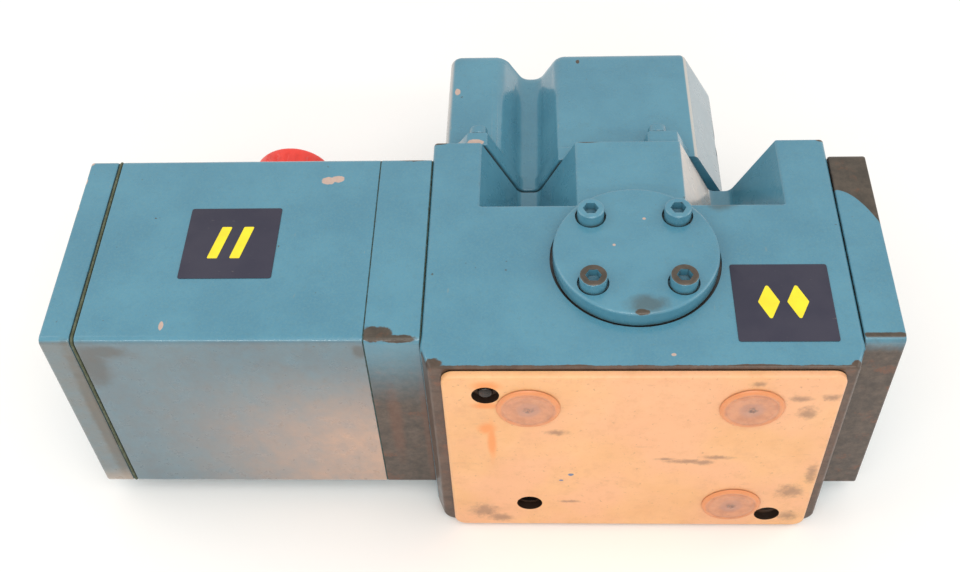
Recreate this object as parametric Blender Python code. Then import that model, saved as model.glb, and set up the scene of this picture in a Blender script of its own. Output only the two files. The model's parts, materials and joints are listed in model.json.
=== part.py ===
"""A two-stage hydraulic spool valve: main stage, pilot stage, sensor housing and shipping plate.

The valve lies on one side. +X runs along the main spool, from the electronics housing to the end
plate. -Y is the way its mounting face looks, under the shipping plate. +Z is up, and Z = 0 is the
surface it lies on. The origin is the middle of the whole valve's footprint.
Sizes are in millimetres; MM turns them into metres where a mesh is made.
"""

import math

import bmesh
import bpy

MM = 0.001
GAP = 0.3  # between pieces that touch

# The stack along X, from left to right
HOUSING_LENGTH = 112.95
ADAPTER_LENGTH = 22.1
BODY_LENGTH = 168.0
END_PLATE_LENGTH = 16.0
VALVE_LENGTH = 333.2
RIGHT_END = VALVE_LENGTH / 2
BODY_RIGHT = RIGHT_END - END_PLATE_LENGTH
BODY_LEFT = BODY_RIGHT - BODY_LENGTH
ADAPTER_LEFT = BODY_LEFT - ADAPTER_LENGTH
HOUSING_LEFT = ADAPTER_LEFT - HOUSING_LENGTH - GAP / 2
LEFT_END = -RIGHT_END
BODY_X = (BODY_LEFT + BODY_RIGHT) / 2

# Along Y, from the shipping plugs' heads to the back of the pilot housing
VALVE_DEPTH = 200.0
FRONT = -VALVE_DEPTH / 2
BACK = VALVE_DEPTH / 2
PLUG_HEAD = 1.5
PLATE_THICKNESS = 3.3
MOUNT_FACE = FRONT + PLUG_HEAD + PLATE_THICKNESS + GAP
BODY_DEPTH = 120.6
PARTING = MOUNT_FACE + BODY_DEPTH

# Heights
BODY_HEIGHT = 115.0
MID_Z = BODY_HEIGHT / 2
EDGE = 0.8  # chamfer round the body's faces
TAPER_DEPTH = 9.5  # the body's ends draw in towards the mounting face
TAPER_WIDTH = 3.5

# The blocks at the two ends of the body share one outline
SIDE_WIDTH = 98.6
SIDE_HEIGHT = 105.5
SIDE_Y = MOUNT_FACE + 12.9 + SIDE_WIDTH / 2
SIDE_Z = BODY_HEIGHT - SIDE_HEIGHT / 2
SIDE_CORNER = 2.7

# Mounting bolts, their pockets and the ports
BOLT_X = 42.85
BOLT_Z = 36.5
BOLT_MID_Z = 57.0
BOLT_HOLE = 5.4
POCKET_FRONT = PARTING - 37.8
POCKET_DEPTH = 31.5
POCKET_BOTTOM = 4.45  # half the width of the pocket's bottom
POCKET_SLOPE = math.tan(math.radians(27.0))
POCKET_CORNER = 4.0
PORT_CIRCLE = 25.4
PORT_HOLE = 7.0
PORT_RECESS = 10.5
PORT_RECESS_DEPTH = 1.5
PLATE_HOLE_X = 59.15
PLATE_HOLE_Z = 44.95
PLATE_HOLE = 5.35
PIN_RADIUS = 3.0
PIN_LENGTH = 14.0

# Main bore, sleeve and spool
BORE = 16.0
SLEEVE_OUTER = BORE - GAP
SLEEVE_BORE = 10.2
SLEEVE_LENGTH = 124.0
SPOOL_RADIUS = 10.0
SPOOL_NECK = 6.5
SPOOL_LENGTH = 138.0
SEAT_RADIUS = 12.0
SEAT_THICKNESS = 3.0
SPRING_RADIUS = 9.5
SPRING_WIRE = 1.2
SPRING_TURNS = 5
CHAMBER = 13.0
SEAL_RADIUS = 19.0
SEAL_GROOVE = (16.9, 21.1)
END_CHAMBER_DEPTH = 8.0

# Screws: radius and height of head, radius and length of shank, corner radius of the hex socket
COVER_SCREW = (5.5, 7.5, 3.3, 19.0, 3.2)
END_SCREW = (6.5, 8.0, 4.0, 24.0, 3.7)
HOUSING_SCREW = (6.5, 8.0, 4.0, 45.0, 3.7)
LID_SCREW = (4.25, 5.0, 2.5, 22.0, 2.4)
PILOT_SCREW = (4.1, 5.0, 2.4, 21.0, 2.3)
SCREW_ROOM = 0.3

# Screw patterns: half spacings about their own centres
COVER_PATTERN = 17.5
END_PATTERN = (38.0, 40.0)
HOUSING_PATTERN = (25.0, 28.0)
LID_PATTERN = (42.0, 45.5)

# Filter cover on the label face
COVER_RADIUS = 33.0
COVER_Y = MOUNT_FACE + 53.2
COVER_PROUD = 6.5
COVER_SEAT = 1.2
COVER_SEAL_RADIUS = 18.35
COVER_GROOVE = (16.7, 20.0)
FILTER_CAVITY = 15.5
FILTER_DEPTH = 8.0

# Electronics housing
WALL = 4.0
HOUSING_FLOOR = 6.0
COLUMN = 13.0
GASKET = 1.1
GASKET_BEAD = 0.5
SOCKET_X = -90.0
SOCKET_RADIUS = 14.5
SOCKET_INNER = 12.5
SOCKET_FLOOR = 12.0  # from the housing's wall, like the lip
SOCKET_LIP = 34.4
SOCKET_FLANGE = 34.0
CAP_RADIUS = 19.0
CAP_LENGTH = 33.0
CAP_THICKNESS = 4.0
CAP_END = PARTING + 33.3

# Amplifier card; its parts are (x, y, half width, height)
CARD_X = (-146.0, -92.0)
CARD_WIDTH = 60.0
CARD_Z = 84.0
CARD_THICKNESS = 1.6
PILLAR_RADIUS = 3.0
PILLAR_INSET = 5.0
CARD_PARTS = ((-130, -45, 9, 12), (-112, -45, 6, 8), (-130, -18, 7, 6), (-108, -20, 5, 15))

# Sensor
TUBE_OUTER = 7.9
TUBE_INNER = 4.4
TUBE_END = -85.0
CORE_RADIUS = 3.8
CORE_ROD = 2.0
CORE_X = (-76.0, -54.0)
COIL_RADIUS = 17.0

# Pilot stage
PILOT_TOP = 101.0
PILOT_FRONT = PARTING + 1.2
FLANGE_DEPTH = 8.0
EAR_TOP = 112.4
EAR_SCREW_Z = EAR_TOP - PILOT_SCREW[0]
EAR_X = (1.5, 80.7)
PILOT_Y = PARTING + 37.3
PILOT_BORE = 6.3
PILOT_SPOOL_RADIUS = 6.1
PILOT_COIL_BORE = 19.2
PILOT_COIL_SEAT = 47.0
PILOT_PLUG_BORE = 9.0
PILOT_PLUG_SEAT = -2.0
PILOT_SPRING = (-2.9, 5.9, 4.4, 0.6, 4)  # low end, high end, radius, wire radius, turns
PILOT_CENTRE_X = 49.4
PILOT_LEFT = -18.0
PILOT_LEFT_DRAFT = 4.2  # the left side leans in this far between mid height and the top
PILOT_SLOPE = ((98.2, PILOT_TOP), (112.6, 75.5))
PILOT_GROOVE_RISE = 2.8  # the groove's bottom comes up this far at the back
PILOT_FRONT_LIPS = (5.5, 1.5, 4.0)  # radii of the groove's left lip, right lip and floor
PILOT_BACK_LIPS = (7.5, 6.5, 6.5)
PILOT_BACK_ROUND = 4.5
FLANGE_LEFT = -13.7
PILOT_SPOOL_X = (7.0, 44.0)
PILOT_WAIST = 4.0
ARMATURE_X = (44.3, 52.0, 78.0)  # rod's end, shoulder, tail
ARMATURE_RADIUS = 8.5
PILOT_COIL_X = (49.0, 98.0)
PILOT_PLUG_X = (-17.0, -4.0)
PILOT_PLUG_RADIUS = 8.7
PILOT_CAP_X = (82.0, 98.5, 110.6)  # core's end, rim's inner face, outer face
PASSAGE = 2.5
PASSAGE_X = (1.0, 14.0, 27.0, 40.0)
CROSS_Y = 5.0

# Labels
LABEL = 38.0
LABEL_THICKNESS = 0.3
LABEL_GAP = 0.1
LEFT_LABEL = (-98.05, MOUNT_FACE + 63.1)
RIGHT_LABEL = (122.45, MOUNT_FACE + 30.95)

# Colour, roughness, metallic
FINISHES = {
    "blue_paint": ((0.10, 0.32, 0.42), 0.42, 0.0),
    "steel": ((0.45, 0.44, 0.42), 0.32, 1.0),
    "spring_steel": ((0.30, 0.30, 0.31), 0.35, 1.0),
    "seal_rubber": ((0.05, 0.05, 0.045), 0.65, 0.0),
    "gasket_board": ((0.13, 0.12, 0.06), 0.8, 0.0),
    "tan_plastic": ((0.90, 0.58, 0.34), 0.45, 0.0),
    "orange_plastic": ((0.83, 0.38, 0.22), 0.4, 0.0),
    "red_plastic": ((0.80, 0.04, 0.03), 0.4, 0.0),
    "label_film": ((0.045, 0.045, 0.09), 0.35, 0.0),
    "circuit_board": ((0.03, 0.18, 0.07), 0.5, 0.0),
    "copper": ((0.60, 0.27, 0.13), 0.4, 1.0),
    "aluminium": ((0.70, 0.70, 0.71), 0.4, 1.0),
    "filter_bronze": ((0.50, 0.36, 0.18), 0.6, 1.0),
}


def clear_scene():
    for item in list(bpy.data.objects):
        bpy.data.objects.remove(item)


def finish(name):
    """The named material, made the first time it is asked for."""
    if name in bpy.data.materials:
        return bpy.data.materials[name]
    colour, roughness, metallic = FINISHES[name]
    material = bpy.data.materials.new(name)
    material.use_nodes = True
    shader = material.node_tree.nodes["Principled BSDF"]
    shader.inputs["Base Color"].default_value = (*colour, 1.0)
    shader.inputs["Roughness"].default_value = roughness
    shader.inputs["Metallic"].default_value = metallic
    return material


def place(axis, along, across):
    """A point in metres: its distance along the axis, and its two coordinates across it."""
    u, v = across
    point = {"X": (along, u, v), "Y": (u, along, v), "Z": (u, v, along)}[axis]
    return tuple(value * MM for value in point)


def make_object(name, rings, axis, closed_loop, finish_name):
    """A closed solid through rings of points, each ring (distance along, points across).

    A ring of one point closes the solid to a tip. A closed loop joins the last ring to the first.
    """
    mesh = bmesh.new()
    loops = [[mesh.verts.new(place(axis, along, p)) for p in points] for along, points in rings]
    pairs = list(zip(loops, loops[1:]))
    if closed_loop:
        pairs.append((loops[-1], loops[0]))
    for first, second in pairs:
        bridge(mesh, first, second)
    if not closed_loop:
        for end in (loops[0], loops[-1]):
            if len(end) > 2:
                mesh.faces.new(end)
    bmesh.ops.recalc_face_normals(mesh, faces=mesh.faces)
    data = bpy.data.meshes.new(name)
    mesh.to_mesh(data)
    mesh.free()
    data.shade_smooth()
    data.set_sharp_from_angle(angle=math.radians(30.0))
    data.materials.append(finish(finish_name))
    solid = bpy.data.objects.new(name, data)
    bpy.context.collection.objects.link(solid)
    return solid


def bridge(mesh, first, second):
    """Faces between two rings of the same length, or between a ring and a tip."""
    count = max(len(first), len(second))
    for i in range(count):
        j = (i + 1) % count
        if len(first) == 1:
            corners = (first[0], second[j], second[i])
        elif len(second) == 1:
            corners = (first[i], first[j], second[0])
        else:
            corners = (first[i], first[j], second[j], second[i])
        mesh.faces.new(corners)


def round_outline(corners, steps=3):
    """A closed outline whose corners, each (u, v, radius), are arcs."""
    points = []
    for i, (u, v, radius) in enumerate(corners):
        if radius <= 0:
            points.append((u, v))
            continue
        before = corners[i - 1]
        after = corners[(i + 1) % len(corners)]
        points.extend(corner_arc((before[0], before[1]), (u, v), (after[0], after[1]), radius, steps))
    return points


def corner_arc(before, corner, after, radius, steps):
    """The arc that rounds one corner of an outline."""
    to_before = unit(before[0] - corner[0], before[1] - corner[1])
    to_after = unit(after[0] - corner[0], after[1] - corner[1])
    cosine = to_before[0] * to_after[0] + to_before[1] * to_after[1]
    half = math.acos(max(-1.0, min(1.0, cosine))) / 2
    middle = unit(to_before[0] + to_after[0], to_before[1] + to_after[1])
    centre = (
        corner[0] + middle[0] * radius / math.sin(half),
        corner[1] + middle[1] * radius / math.sin(half),
    )
    reach = radius / math.tan(half)
    start = (corner[0] + to_before[0] * reach, corner[1] + to_before[1] * reach)
    end = (corner[0] + to_after[0] * reach, corner[1] + to_after[1] * reach)
    first = math.atan2(start[1] - centre[1], start[0] - centre[0])
    turn = math.atan2(end[1] - centre[1], end[0] - centre[0]) - first
    turn = (turn + math.pi) % (2 * math.pi) - math.pi
    angles = [first + turn * step / steps for step in range(steps + 1)]
    return [(centre[0] + radius * math.cos(a), centre[1] + radius * math.sin(a)) for a in angles]


def unit(u, v):
    length = math.hypot(u, v)
    return u / length, v / length


def rectangle(centre, width, height, radii, steps=2):
    """A rounded rectangle; radii go round from its low corner: (low u low v), (high u low v), ..."""
    u0, u1 = centre[0] - width / 2, centre[0] + width / 2
    v0, v1 = centre[1] - height / 2, centre[1] + height / 2
    corners = zip(((u0, v0), (u1, v0), (u1, v1), (u0, v1)), radii)
    return round_outline([(u, v, radius) for (u, v), radius in corners], steps)


def prism(name, axis, low, high, outline, finish_name="blue_paint"):
    return make_object(name, [(low, outline), (high, outline)], axis, False, finish_name)


def box(name, low, high, finish_name="blue_paint"):
    outline = [(low[0], low[1]), (high[0], low[1]), (high[0], high[1]), (low[0], high[1])]
    return prism(name, "Z", low[2], high[2], outline, finish_name)


def edged_block(name, axis, low, high, centre, size, corner, edges, finish_name):
    """A rounded block along the axis, with the edges of its low and high faces chamfered."""
    width, height = size
    low_edge, high_edge = edges
    rings = []
    stations = ((low, low_edge), (low + low_edge, 0.0), (high - high_edge, 0.0), (high, high_edge))
    for along, inset in stations:
        radii = [max(corner - inset, 0.4)] * 4
        rings.append((along, rectangle(centre, width - 2 * inset, height - 2 * inset, radii)))
    return make_object(name, rings, axis, False, finish_name)


def ring_of(centre, radius, segments, hexagon=False):
    """Points round a circle, or round a hexagon when the segments are a multiple of six."""
    if radius <= 0:
        return [centre]
    points = []
    for i in range(segments):
        angle = 2 * math.pi * i / segments
        reach = radius
        if hexagon:
            off = (angle + math.pi / 6) % (math.pi / 3) - math.pi / 6
            reach = radius * math.cos(math.pi / 6) / math.cos(math.pi / 6 - abs(off))
        points.append((centre[0] + reach * math.cos(angle), centre[1] + reach * math.sin(angle)))
    return points


def turned(name, axis, centre, profile, segments, finish_name):
    """A turned solid; the profile is (along, radius), and a third value marks a hexagonal ring."""
    rings = [(p[0], ring_of(centre, p[1], segments, len(p) > 2)) for p in profile]
    hollow = all(p[1] > 0 for p in profile)
    return make_object(name, rings, axis, hollow, finish_name)


def rod(axis, centre, radius, low, high, segments=12):
    """A plain cylinder, used as a cutter."""
    profile = ((low, 0), (low, radius), (high, radius), (high, 0))
    return turned("cutter", axis, centre, profile, segments, "steel")


def tube(name, axis, centre, inner, outer, low, high, segments, finish_name="steel"):
    profile = ((low, inner), (low, outer), (high, outer), (high, inner))
    return turned(name, axis, centre, profile, segments, finish_name)


def combine(target, others, operation):
    """Apply a Boolean with each of the others, then drop them."""
    for other in others:
        modifier = target.modifiers.new("boolean", "BOOLEAN")
        modifier.operation = operation
        modifier.solver = "EXACT"
        modifier.object = other
    graph = bpy.context.evaluated_depsgraph_get()
    result = bpy.data.meshes.new_from_object(target.evaluated_get(graph))
    target.modifiers.clear()
    target.data = result
    for other in others:
        bpy.data.objects.remove(other)
    return target


def carve(target, cutters):
    return combine(target, cutters, "DIFFERENCE")


def join(target, others):
    return combine(target, others, "UNION")


def socket_screw(name, axis, centre, seat, direction, sizes, finish_name="steel"):
    """A socket head cap screw whose head's underside lies at the seat; direction points at its head."""
    head_radius, head_height, shank_radius, length, hex_radius = sizes
    top = seat + direction * head_height
    floor = top - direction * head_height * 0.55
    tip = seat - direction * length
    chamfer = 0.6
    profile = (
        (floor, 0),
        (floor, hex_radius, "hex"),
        (top, hex_radius, "hex"),
        (top, head_radius - chamfer),
        (top - direction * chamfer, head_radius),
        (seat, head_radius),
        (seat, shank_radius),
        (tip, shank_radius),
        (tip, 0),
    )
    return turned(name, axis, centre, profile, 12, finish_name)


def four(half_u, half_v, centre):
    """The four corners of a rectangle about a centre."""
    signs = ((-1, -1), (1, -1), (1, 1), (-1, 1))
    return [(centre[0] + su * half_u, centre[1] + sv * half_v) for su, sv in signs]


def bolt_points():
    return four(BOLT_X, BOLT_Z, (BODY_X, BOLT_MID_Z))


def pocket_edges(top_z):
    """Half widths of a bolt pocket at a height, and at its bottom."""
    rise = top_z - (BODY_HEIGHT - POCKET_DEPTH)
    return POCKET_BOTTOM + rise * POCKET_SLOPE


def flip(outline):
    """The same outline, mirrored about the body's middle height."""
    return [(u, BODY_HEIGHT - v) for u, v in outline]


def pocket_outline(centre_x):
    """The V groove of a bolt pocket in the label face, open at its top."""
    top = BODY_HEIGHT + 1.0
    bottom = BODY_HEIGHT - POCKET_DEPTH
    wide = pocket_edges(top)
    corners = [
        (centre_x - wide, top, 0),
        (centre_x - POCKET_BOTTOM, bottom, POCKET_CORNER),
        (centre_x + POCKET_BOTTOM, bottom, POCKET_CORNER),
        (centre_x + wide, top, 0),
    ]
    return round_outline(corners)


def body_section(inset, foot):
    """The body's outline across Y: drawn in by the inset, its lower corners rounded by the foot."""
    top = 2.0
    size = BODY_LENGTH - 2 * inset[0], BODY_HEIGHT - 2 * inset[1]
    return rectangle((BODY_X, MID_Z), *size, (foot, foot, top, top))


def make_body():
    sections = (
        (MOUNT_FACE, body_section((TAPER_WIDTH + EDGE, EDGE), 6.0)),
        (MOUNT_FACE + EDGE, body_section((TAPER_WIDTH - 0.3, 0), 6.0)),
        (MOUNT_FACE + TAPER_DEPTH, body_section((0, 0), 3.0)),
        (PARTING - EDGE, body_section((0, 0), 3.0)),
        (PARTING, body_section((EDGE, EDGE), 3.0)),
    )
    body = make_object("main_body", sections, "Y", False, "blue_paint")
    cutters = [rod("X", (SIDE_Y, MID_Z), BORE, BODY_LEFT - 1, BODY_RIGHT + 1, 16)]
    cutters += pocket_cutters() + mount_face_cutters() + label_face_cutters()
    cutters += end_face_cutters() + parting_face_cutters()
    return carve(body, cutters)


def pocket_cutters():
    cutters = []
    for side in (-1, 1):
        outline = pocket_outline(BODY_X + side * BOLT_X)
        for shape in (outline, flip(outline)):
            cutters.append(prism("cutter", "Y", POCKET_FRONT, PARTING + 1, shape))
    return cutters


def mount_face_cutters():
    """Bolt holes, ports, the locating pin's hole and the groove round the port field."""
    face = MOUNT_FACE - 1
    cutters = [rod("Y", point, BOLT_HOLE, face, POCKET_FRONT + 1, 16) for point in bolt_points()]
    centre = (BODY_X, BOLT_MID_Z)
    for du, dv in ((-1, 0), (1, 0), (0, -1), (0, 1)):
        point = (centre[0] + du * PORT_CIRCLE, centre[1] + dv * PORT_CIRCLE)
        profile = (
            (face, 0),
            (face, PORT_RECESS),
            (MOUNT_FACE + PORT_RECESS_DEPTH, PORT_RECESS),
            (MOUNT_FACE + PORT_RECESS_DEPTH, PORT_HOLE),
            (SIDE_Y, PORT_HOLE),
            (SIDE_Y, 0),
        )
        cutters.append(turned("cutter", "Y", point, profile, 12, "steel"))
    cutters.append(rod("Y", pin_point(), PIN_RADIUS + GAP, face, MOUNT_FACE + PIN_LENGTH - 2, 12))
    opposite = (BODY_X + PLATE_HOLE_X, BOLT_MID_Z - PLATE_HOLE_Z)
    cutters.append(rod("Y", opposite, PIN_RADIUS + GAP, face, MOUNT_FACE + PIN_LENGTH - 2, 12))
    cutters.append(face_groove())
    return cutters


def face_groove():
    """A shallow groove that runs round under the shipping plate's edge."""
    outer = rectangle(*plate_outline(0.2))
    inner = rectangle(*plate_outline(-1.0))
    low, high = MOUNT_FACE - 1, MOUNT_FACE + 0.6
    rings = ((low, inner), (low, outer), (high, outer), (high, inner))
    return make_object("cutter", rings, "Y", True, "steel")


def plate_outline(grow):
    """Centre, size and corner radii of the shipping plate, grown by a margin."""
    width, height, corner = 152.0 + 2 * grow, 112.1 + 2 * grow, 5.0 + grow
    return (BODY_X + 0.2, MID_Z + 0.05), width, height, (corner,) * 4


def pin_point():
    return BODY_X - PLATE_HOLE_X, BOLT_MID_Z + PLATE_HOLE_Z


def label_face_cutters():
    """The filter cover's seat, the filter's cavity and the cover screws' holes."""
    top = BODY_HEIGHT + 1
    centre = (BODY_X, COVER_Y)
    seat = BODY_HEIGHT - COVER_SEAT
    cutters = [rod("Z", centre, COVER_RADIUS + 0.8, seat, top, 32)]
    cutters.append(rod("Z", centre, FILTER_CAVITY, seat - FILTER_DEPTH, top, 20))
    for point in four(COVER_PATTERN, COVER_PATTERN, centre):
        cutters.append(rod("Z", point, COVER_SCREW[2] + SCREW_ROOM, BODY_HEIGHT - 17, top, 12))
    return cutters


def end_face_cutters():
    """Tapped holes for the blocks at both ends, and the long drilling to the right spring chamber."""
    cutters = []
    for point in four(*HOUSING_PATTERN, (SIDE_Y, SIDE_Z)):
        cutters.append(rod("X", point, HOUSING_SCREW[2] + SCREW_ROOM, BODY_LEFT - 1, BODY_LEFT + 20, 12))
    for point in four(*END_PATTERN, (SIDE_Y, SIDE_Z)):
        cutters.append(rod("X", point, END_SCREW[2] + SCREW_ROOM, BODY_RIGHT - 20, BODY_RIGHT + 1, 12))
    cutters.append(rod("X", (CROSS_Y, MID_Z), PASSAGE, PASSAGE_X[3], BODY_RIGHT + 1, 8))
    return cutters


def parting_face_cutters():
    """Pilot passages down to the main bore, and the pilot housing's tapped holes."""
    cutters = []
    for x in PASSAGE_X[:3]:
        cutters.append(rod("Y", (x, MID_Z), PASSAGE, SIDE_Y + 12, PARTING + 1, 8))
    cutters.append(rod("Y", (PASSAGE_X[3], MID_Z), PASSAGE, CROSS_Y, PARTING + 1, 8))
    for x, z in ear_points():
        cutters.append(rod("Y", (x, z), PILOT_SCREW[2] + SCREW_ROOM, PARTING - 13, PARTING + 1, 12))
    return cutters


def ear_points():
    return [(x, z) for x in EAR_X for z in (EAR_SCREW_Z, BODY_HEIGHT - EAR_SCREW_Z)]


def make_sleeve():
    """The ported sleeve that the main spool runs in."""
    low = BODY_X - SLEEVE_LENGTH / 2
    high = BODY_X + SLEEVE_LENGTH / 2
    groove_depth = 2.2
    profile = [(low, SLEEVE_BORE), (low, SLEEVE_OUTER)]
    windows = []
    for middle in sleeve_ports():
        profile += [
            (middle - 5, SLEEVE_OUTER),
            (middle - 5, SLEEVE_OUTER - groove_depth),
            (middle + 5, SLEEVE_OUTER - groove_depth),
            (middle + 5, SLEEVE_OUTER),
        ]
        window_low = (middle - 3, SIDE_Y - 20, MID_Z - 4)
        windows.append(box("cutter", window_low, (middle + 3, SIDE_Y + 20, MID_Z + 4)))
    profile += [(high, SLEEVE_OUTER), (high, SLEEVE_BORE)]
    sleeve = turned("spool_sleeve", "X", (SIDE_Y, MID_Z), profile, 16, "steel")
    return carve(sleeve, windows)


def sleeve_ports():
    return [BODY_X + step for step in (-PORT_CIRCLE, 0.0, PORT_CIRCLE)]


def make_spool():
    """The main spool: four lands, three waists, and a blind hole for the sensor core's rod."""
    low, high = BODY_X - SPOOL_LENGTH / 2, BODY_X + SPOOL_LENGTH / 2
    hole = 2.3
    profile = [(low + 9, 0), (low + 9, hole), (low, hole), (low, SPOOL_RADIUS)]
    for middle in sleeve_ports():
        profile += [
            (middle - 8, SPOOL_RADIUS),
            (middle - 8, SPOOL_NECK),
            (middle + 8, SPOOL_NECK),
            (middle + 8, SPOOL_RADIUS),
        ]
    profile += [(high, SPOOL_RADIUS), (high, 0)]
    return turned("main_spool", "X", (SIDE_Y, MID_Z), profile, 16, "steel")


def spool_end(side):
    return BODY_X + side * SPOOL_LENGTH / 2


def make_spring_seat(name, side):
    """A flanged collar that passes the spring's force to one end of the spool."""
    face = spool_end(side) + side * GAP
    outer = face + side * SEAT_THICKNESS
    hub = outer + side * 3.0
    profile = ((face, 2.3), (face, SEAT_RADIUS), (outer, SEAT_RADIUS), (outer, 7.0), (hub, 7.0), (hub, 2.3))
    return turned(name, "X", (SIDE_Y, MID_Z), profile, 16, "steel")


def make_main_spring(name, side):
    """A centring spring between a spring seat and the floor of its chamber."""
    start = spool_end(side) + side * (GAP + SEAT_THICKNESS + 0.3 + SPRING_WIRE)
    chamber_floor = {-1: BODY_LEFT - 8.0, 1: BODY_RIGHT + END_CHAMBER_DEPTH}[side]
    end = chamber_floor - side * (0.3 + SPRING_WIRE)
    return make_coil(name, (SIDE_Y, MID_Z), start, end, SPRING_RADIUS, SPRING_WIRE, SPRING_TURNS)


def make_coil(name, centre, start, end, radius, wire, turns):
    """A helix of round wire along X."""
    curve = bpy.data.curves.new(name, "CURVE")
    curve.dimensions = "3D"
    curve.bevel_depth = wire * MM
    curve.bevel_resolution = 0
    curve.use_fill_caps = True
    per_turn = 10
    count = turns * per_turn
    spline = curve.splines.new("POLY")
    spline.points.add(count)
    for i, point in enumerate(spline.points):
        angle = 2 * math.pi * i / per_turn
        x = start + (end - start) * i / count
        across = (centre[0] + radius * math.cos(angle), centre[1] + radius * math.sin(angle))
        point.co = (*place("X", x, across), 1.0)
    curve.materials.append(finish("spring_steel"))
    spring = bpy.data.objects.new(name, curve)
    bpy.context.collection.objects.link(spring)
    return spring


def side_block(name, low, high, edges, finish_name="blue_paint"):
    size = (SIDE_WIDTH, SIDE_HEIGHT)
    return edged_block(name, "X", low, high, (SIDE_Y, SIDE_Z), size, SIDE_CORNER, edges, finish_name)


def seal_groove(face, direction):
    """A face groove for an O-ring round the bore; direction points into the block."""
    low, high = sorted((face - direction, face + direction * 2.0))
    return tube("cutter", "X", (SIDE_Y, MID_Z), *SEAL_GROOVE, low, high, 20)


def make_seal(name, axis, centre, middle, radius):
    """An O-ring, squeezed into its groove."""
    cord = 0.92
    points = [(middle + cord * math.cos(a), radius + cord * math.sin(a)) for a in six_angles()]
    return turned(name, axis, centre, points, 16, "seal_rubber")


def six_angles():
    return [2 * math.pi * i / 6 for i in range(6)]


def make_end_plate():
    left = BODY_RIGHT + GAP
    plate = side_block("end_plate", left, RIGHT_END, (0.3, 1.2))
    recess = rod("X", (SIDE_Y, MID_Z), CHAMBER, left - 1, BODY_RIGHT + END_CHAMBER_DEPTH, 20)
    passage = box("cutter", (left - 1, SIDE_Y + 5, MID_Z - 2.5), (left + 3, CROSS_Y + 2.5, MID_Z + 2.5))
    cutters = [recess, seal_groove(left, 1), passage]
    head = END_SCREW[0] + 0.6
    shank = END_SCREW[2] + SCREW_ROOM
    for point in four(*END_PATTERN, (SIDE_Y, SIDE_Z)):
        cutters.append(counterbore("X", point, shank, head, left - 1, end_seat(), RIGHT_END + 1))
    return carve(plate, cutters)


def end_seat():
    return RIGHT_END - END_SCREW[1] - 0.5


def counterbore(axis, point, shank, head, tip, seat, mouth):
    """A stepped cutter: the shank's hole from the tip to the seat, then the head's to the mouth."""
    profile = ((tip, 0), (tip, shank), (seat, shank), (seat, head), (mouth, head), (mouth, 0))
    return turned("cutter", axis, point, profile, 12, "steel")


def make_adapter():
    left, right = ADAPTER_LEFT, BODY_LEFT - GAP
    plate = side_block("adapter_plate", left, right, (0.3, 0.3))
    recess = rod("X", (SIDE_Y, MID_Z), CHAMBER, BODY_LEFT - 11.3, right + 1, 20)
    through = rod("X", (SIDE_Y, MID_Z), TUBE_OUTER + GAP, left - 1, right, 16)
    cutters = [recess, through, seal_groove(right, -1)]
    for point in four(*HOUSING_PATTERN, (SIDE_Y, SIDE_Z)):
        cutters.append(rod("X", point, HOUSING_SCREW[2] + SCREW_ROOM, left - 1, right + 1, 12))
    return carve(plate, cutters)


def cavity_outline(shrink):
    """The housing's hollow: a rectangle with a square column left in each corner."""
    half_y = SIDE_WIDTH / 2 - WALL - shrink
    half_z = SIDE_HEIGHT / 2 - WALL - shrink
    step_y = SIDE_WIDTH / 2 - COLUMN - shrink
    step_z = SIDE_HEIGHT / 2 - COLUMN - shrink
    quarter = ((half_y, step_z), (step_y, step_z), (step_y, half_z))
    points = [(y, z) for y, z in quarter]
    points += [(-y, z) for y, z in reversed(quarter)]
    points += [(-y, -z) for y, z in quarter]
    points += [(y, -z) for y, z in reversed(quarter)]
    return [(SIDE_Y + y, SIDE_Z + z) for y, z in points]


def make_housing():
    """The electronics housing: a box open to the left, with a floor against the adapter plate."""
    left, right = HOUSING_LEFT, ADAPTER_LEFT - GAP
    housing = side_block("electronics_housing", left, right, (0.3, 0.3))
    cavity = prism("cutter", "X", left - 1, right - HOUSING_FLOOR, cavity_outline(0))
    cutters = [cavity, rod("X", (SIDE_Y, MID_Z), TUBE_OUTER + GAP, left, right + 1, 16)]
    for point in four(*HOUSING_PATTERN, (SIDE_Y, SIDE_Z)):
        cutters.append(rod("X", point, HOUSING_SCREW[2] + SCREW_ROOM, right - 20, right + 1, 12))
    for point in four(*LID_PATTERN, (SIDE_Y, SIDE_Z)):
        cutters.append(rod("X", point, LID_SCREW[2] + SCREW_ROOM, left - 1, left + 18, 12))
    back = SIDE_Y + SIDE_WIDTH / 2
    cutters.append(rod("Y", (SOCKET_X, SIDE_Z), SOCKET_INNER + 0.5, back - WALL - 2, back + 1, 20))
    return carve(housing, cutters)


def make_gasket():
    """The sheet between the housing and its end cover; its edge squeezes out as a bead."""
    high = HOUSING_LEFT - GAP
    low = high - GASKET
    size = (SIDE_WIDTH + 2 * GASKET_BEAD, SIDE_HEIGHT + GASKET_BEAD)
    centre = (SIDE_Y, SIDE_Z)
    gasket = edged_block("end_cover_gasket", "X", low, high, centre, size, 3.0, (0.3, 0.3), "gasket_board")
    cutters = [prism("cutter", "X", low - 1, high + 1, cavity_outline(0.5))]
    for point in four(*LID_PATTERN, centre):
        cutters.append(rod("X", point, LID_SCREW[2] + SCREW_ROOM, low - 1, high + 1, 12))
    return carve(gasket, cutters)


def make_end_cover():
    right = HOUSING_LEFT - 2 * GAP - GASKET
    cover = side_block("end_cover", LEFT_END, right, (1.5, 0.3))
    cutters = [prism("cutter", "X", right - 5.0, right + 1, cavity_outline(1.0))]
    head = LID_SCREW[0] + 0.5
    shank = LID_SCREW[2] + SCREW_ROOM
    for point in four(*LID_PATTERN, (SIDE_Y, SIDE_Z)):
        cutters.append(counterbore("X", point, shank, head, right + 1, lid_seat(), LEFT_END - 1))
    return carve(cover, cutters)


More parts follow.
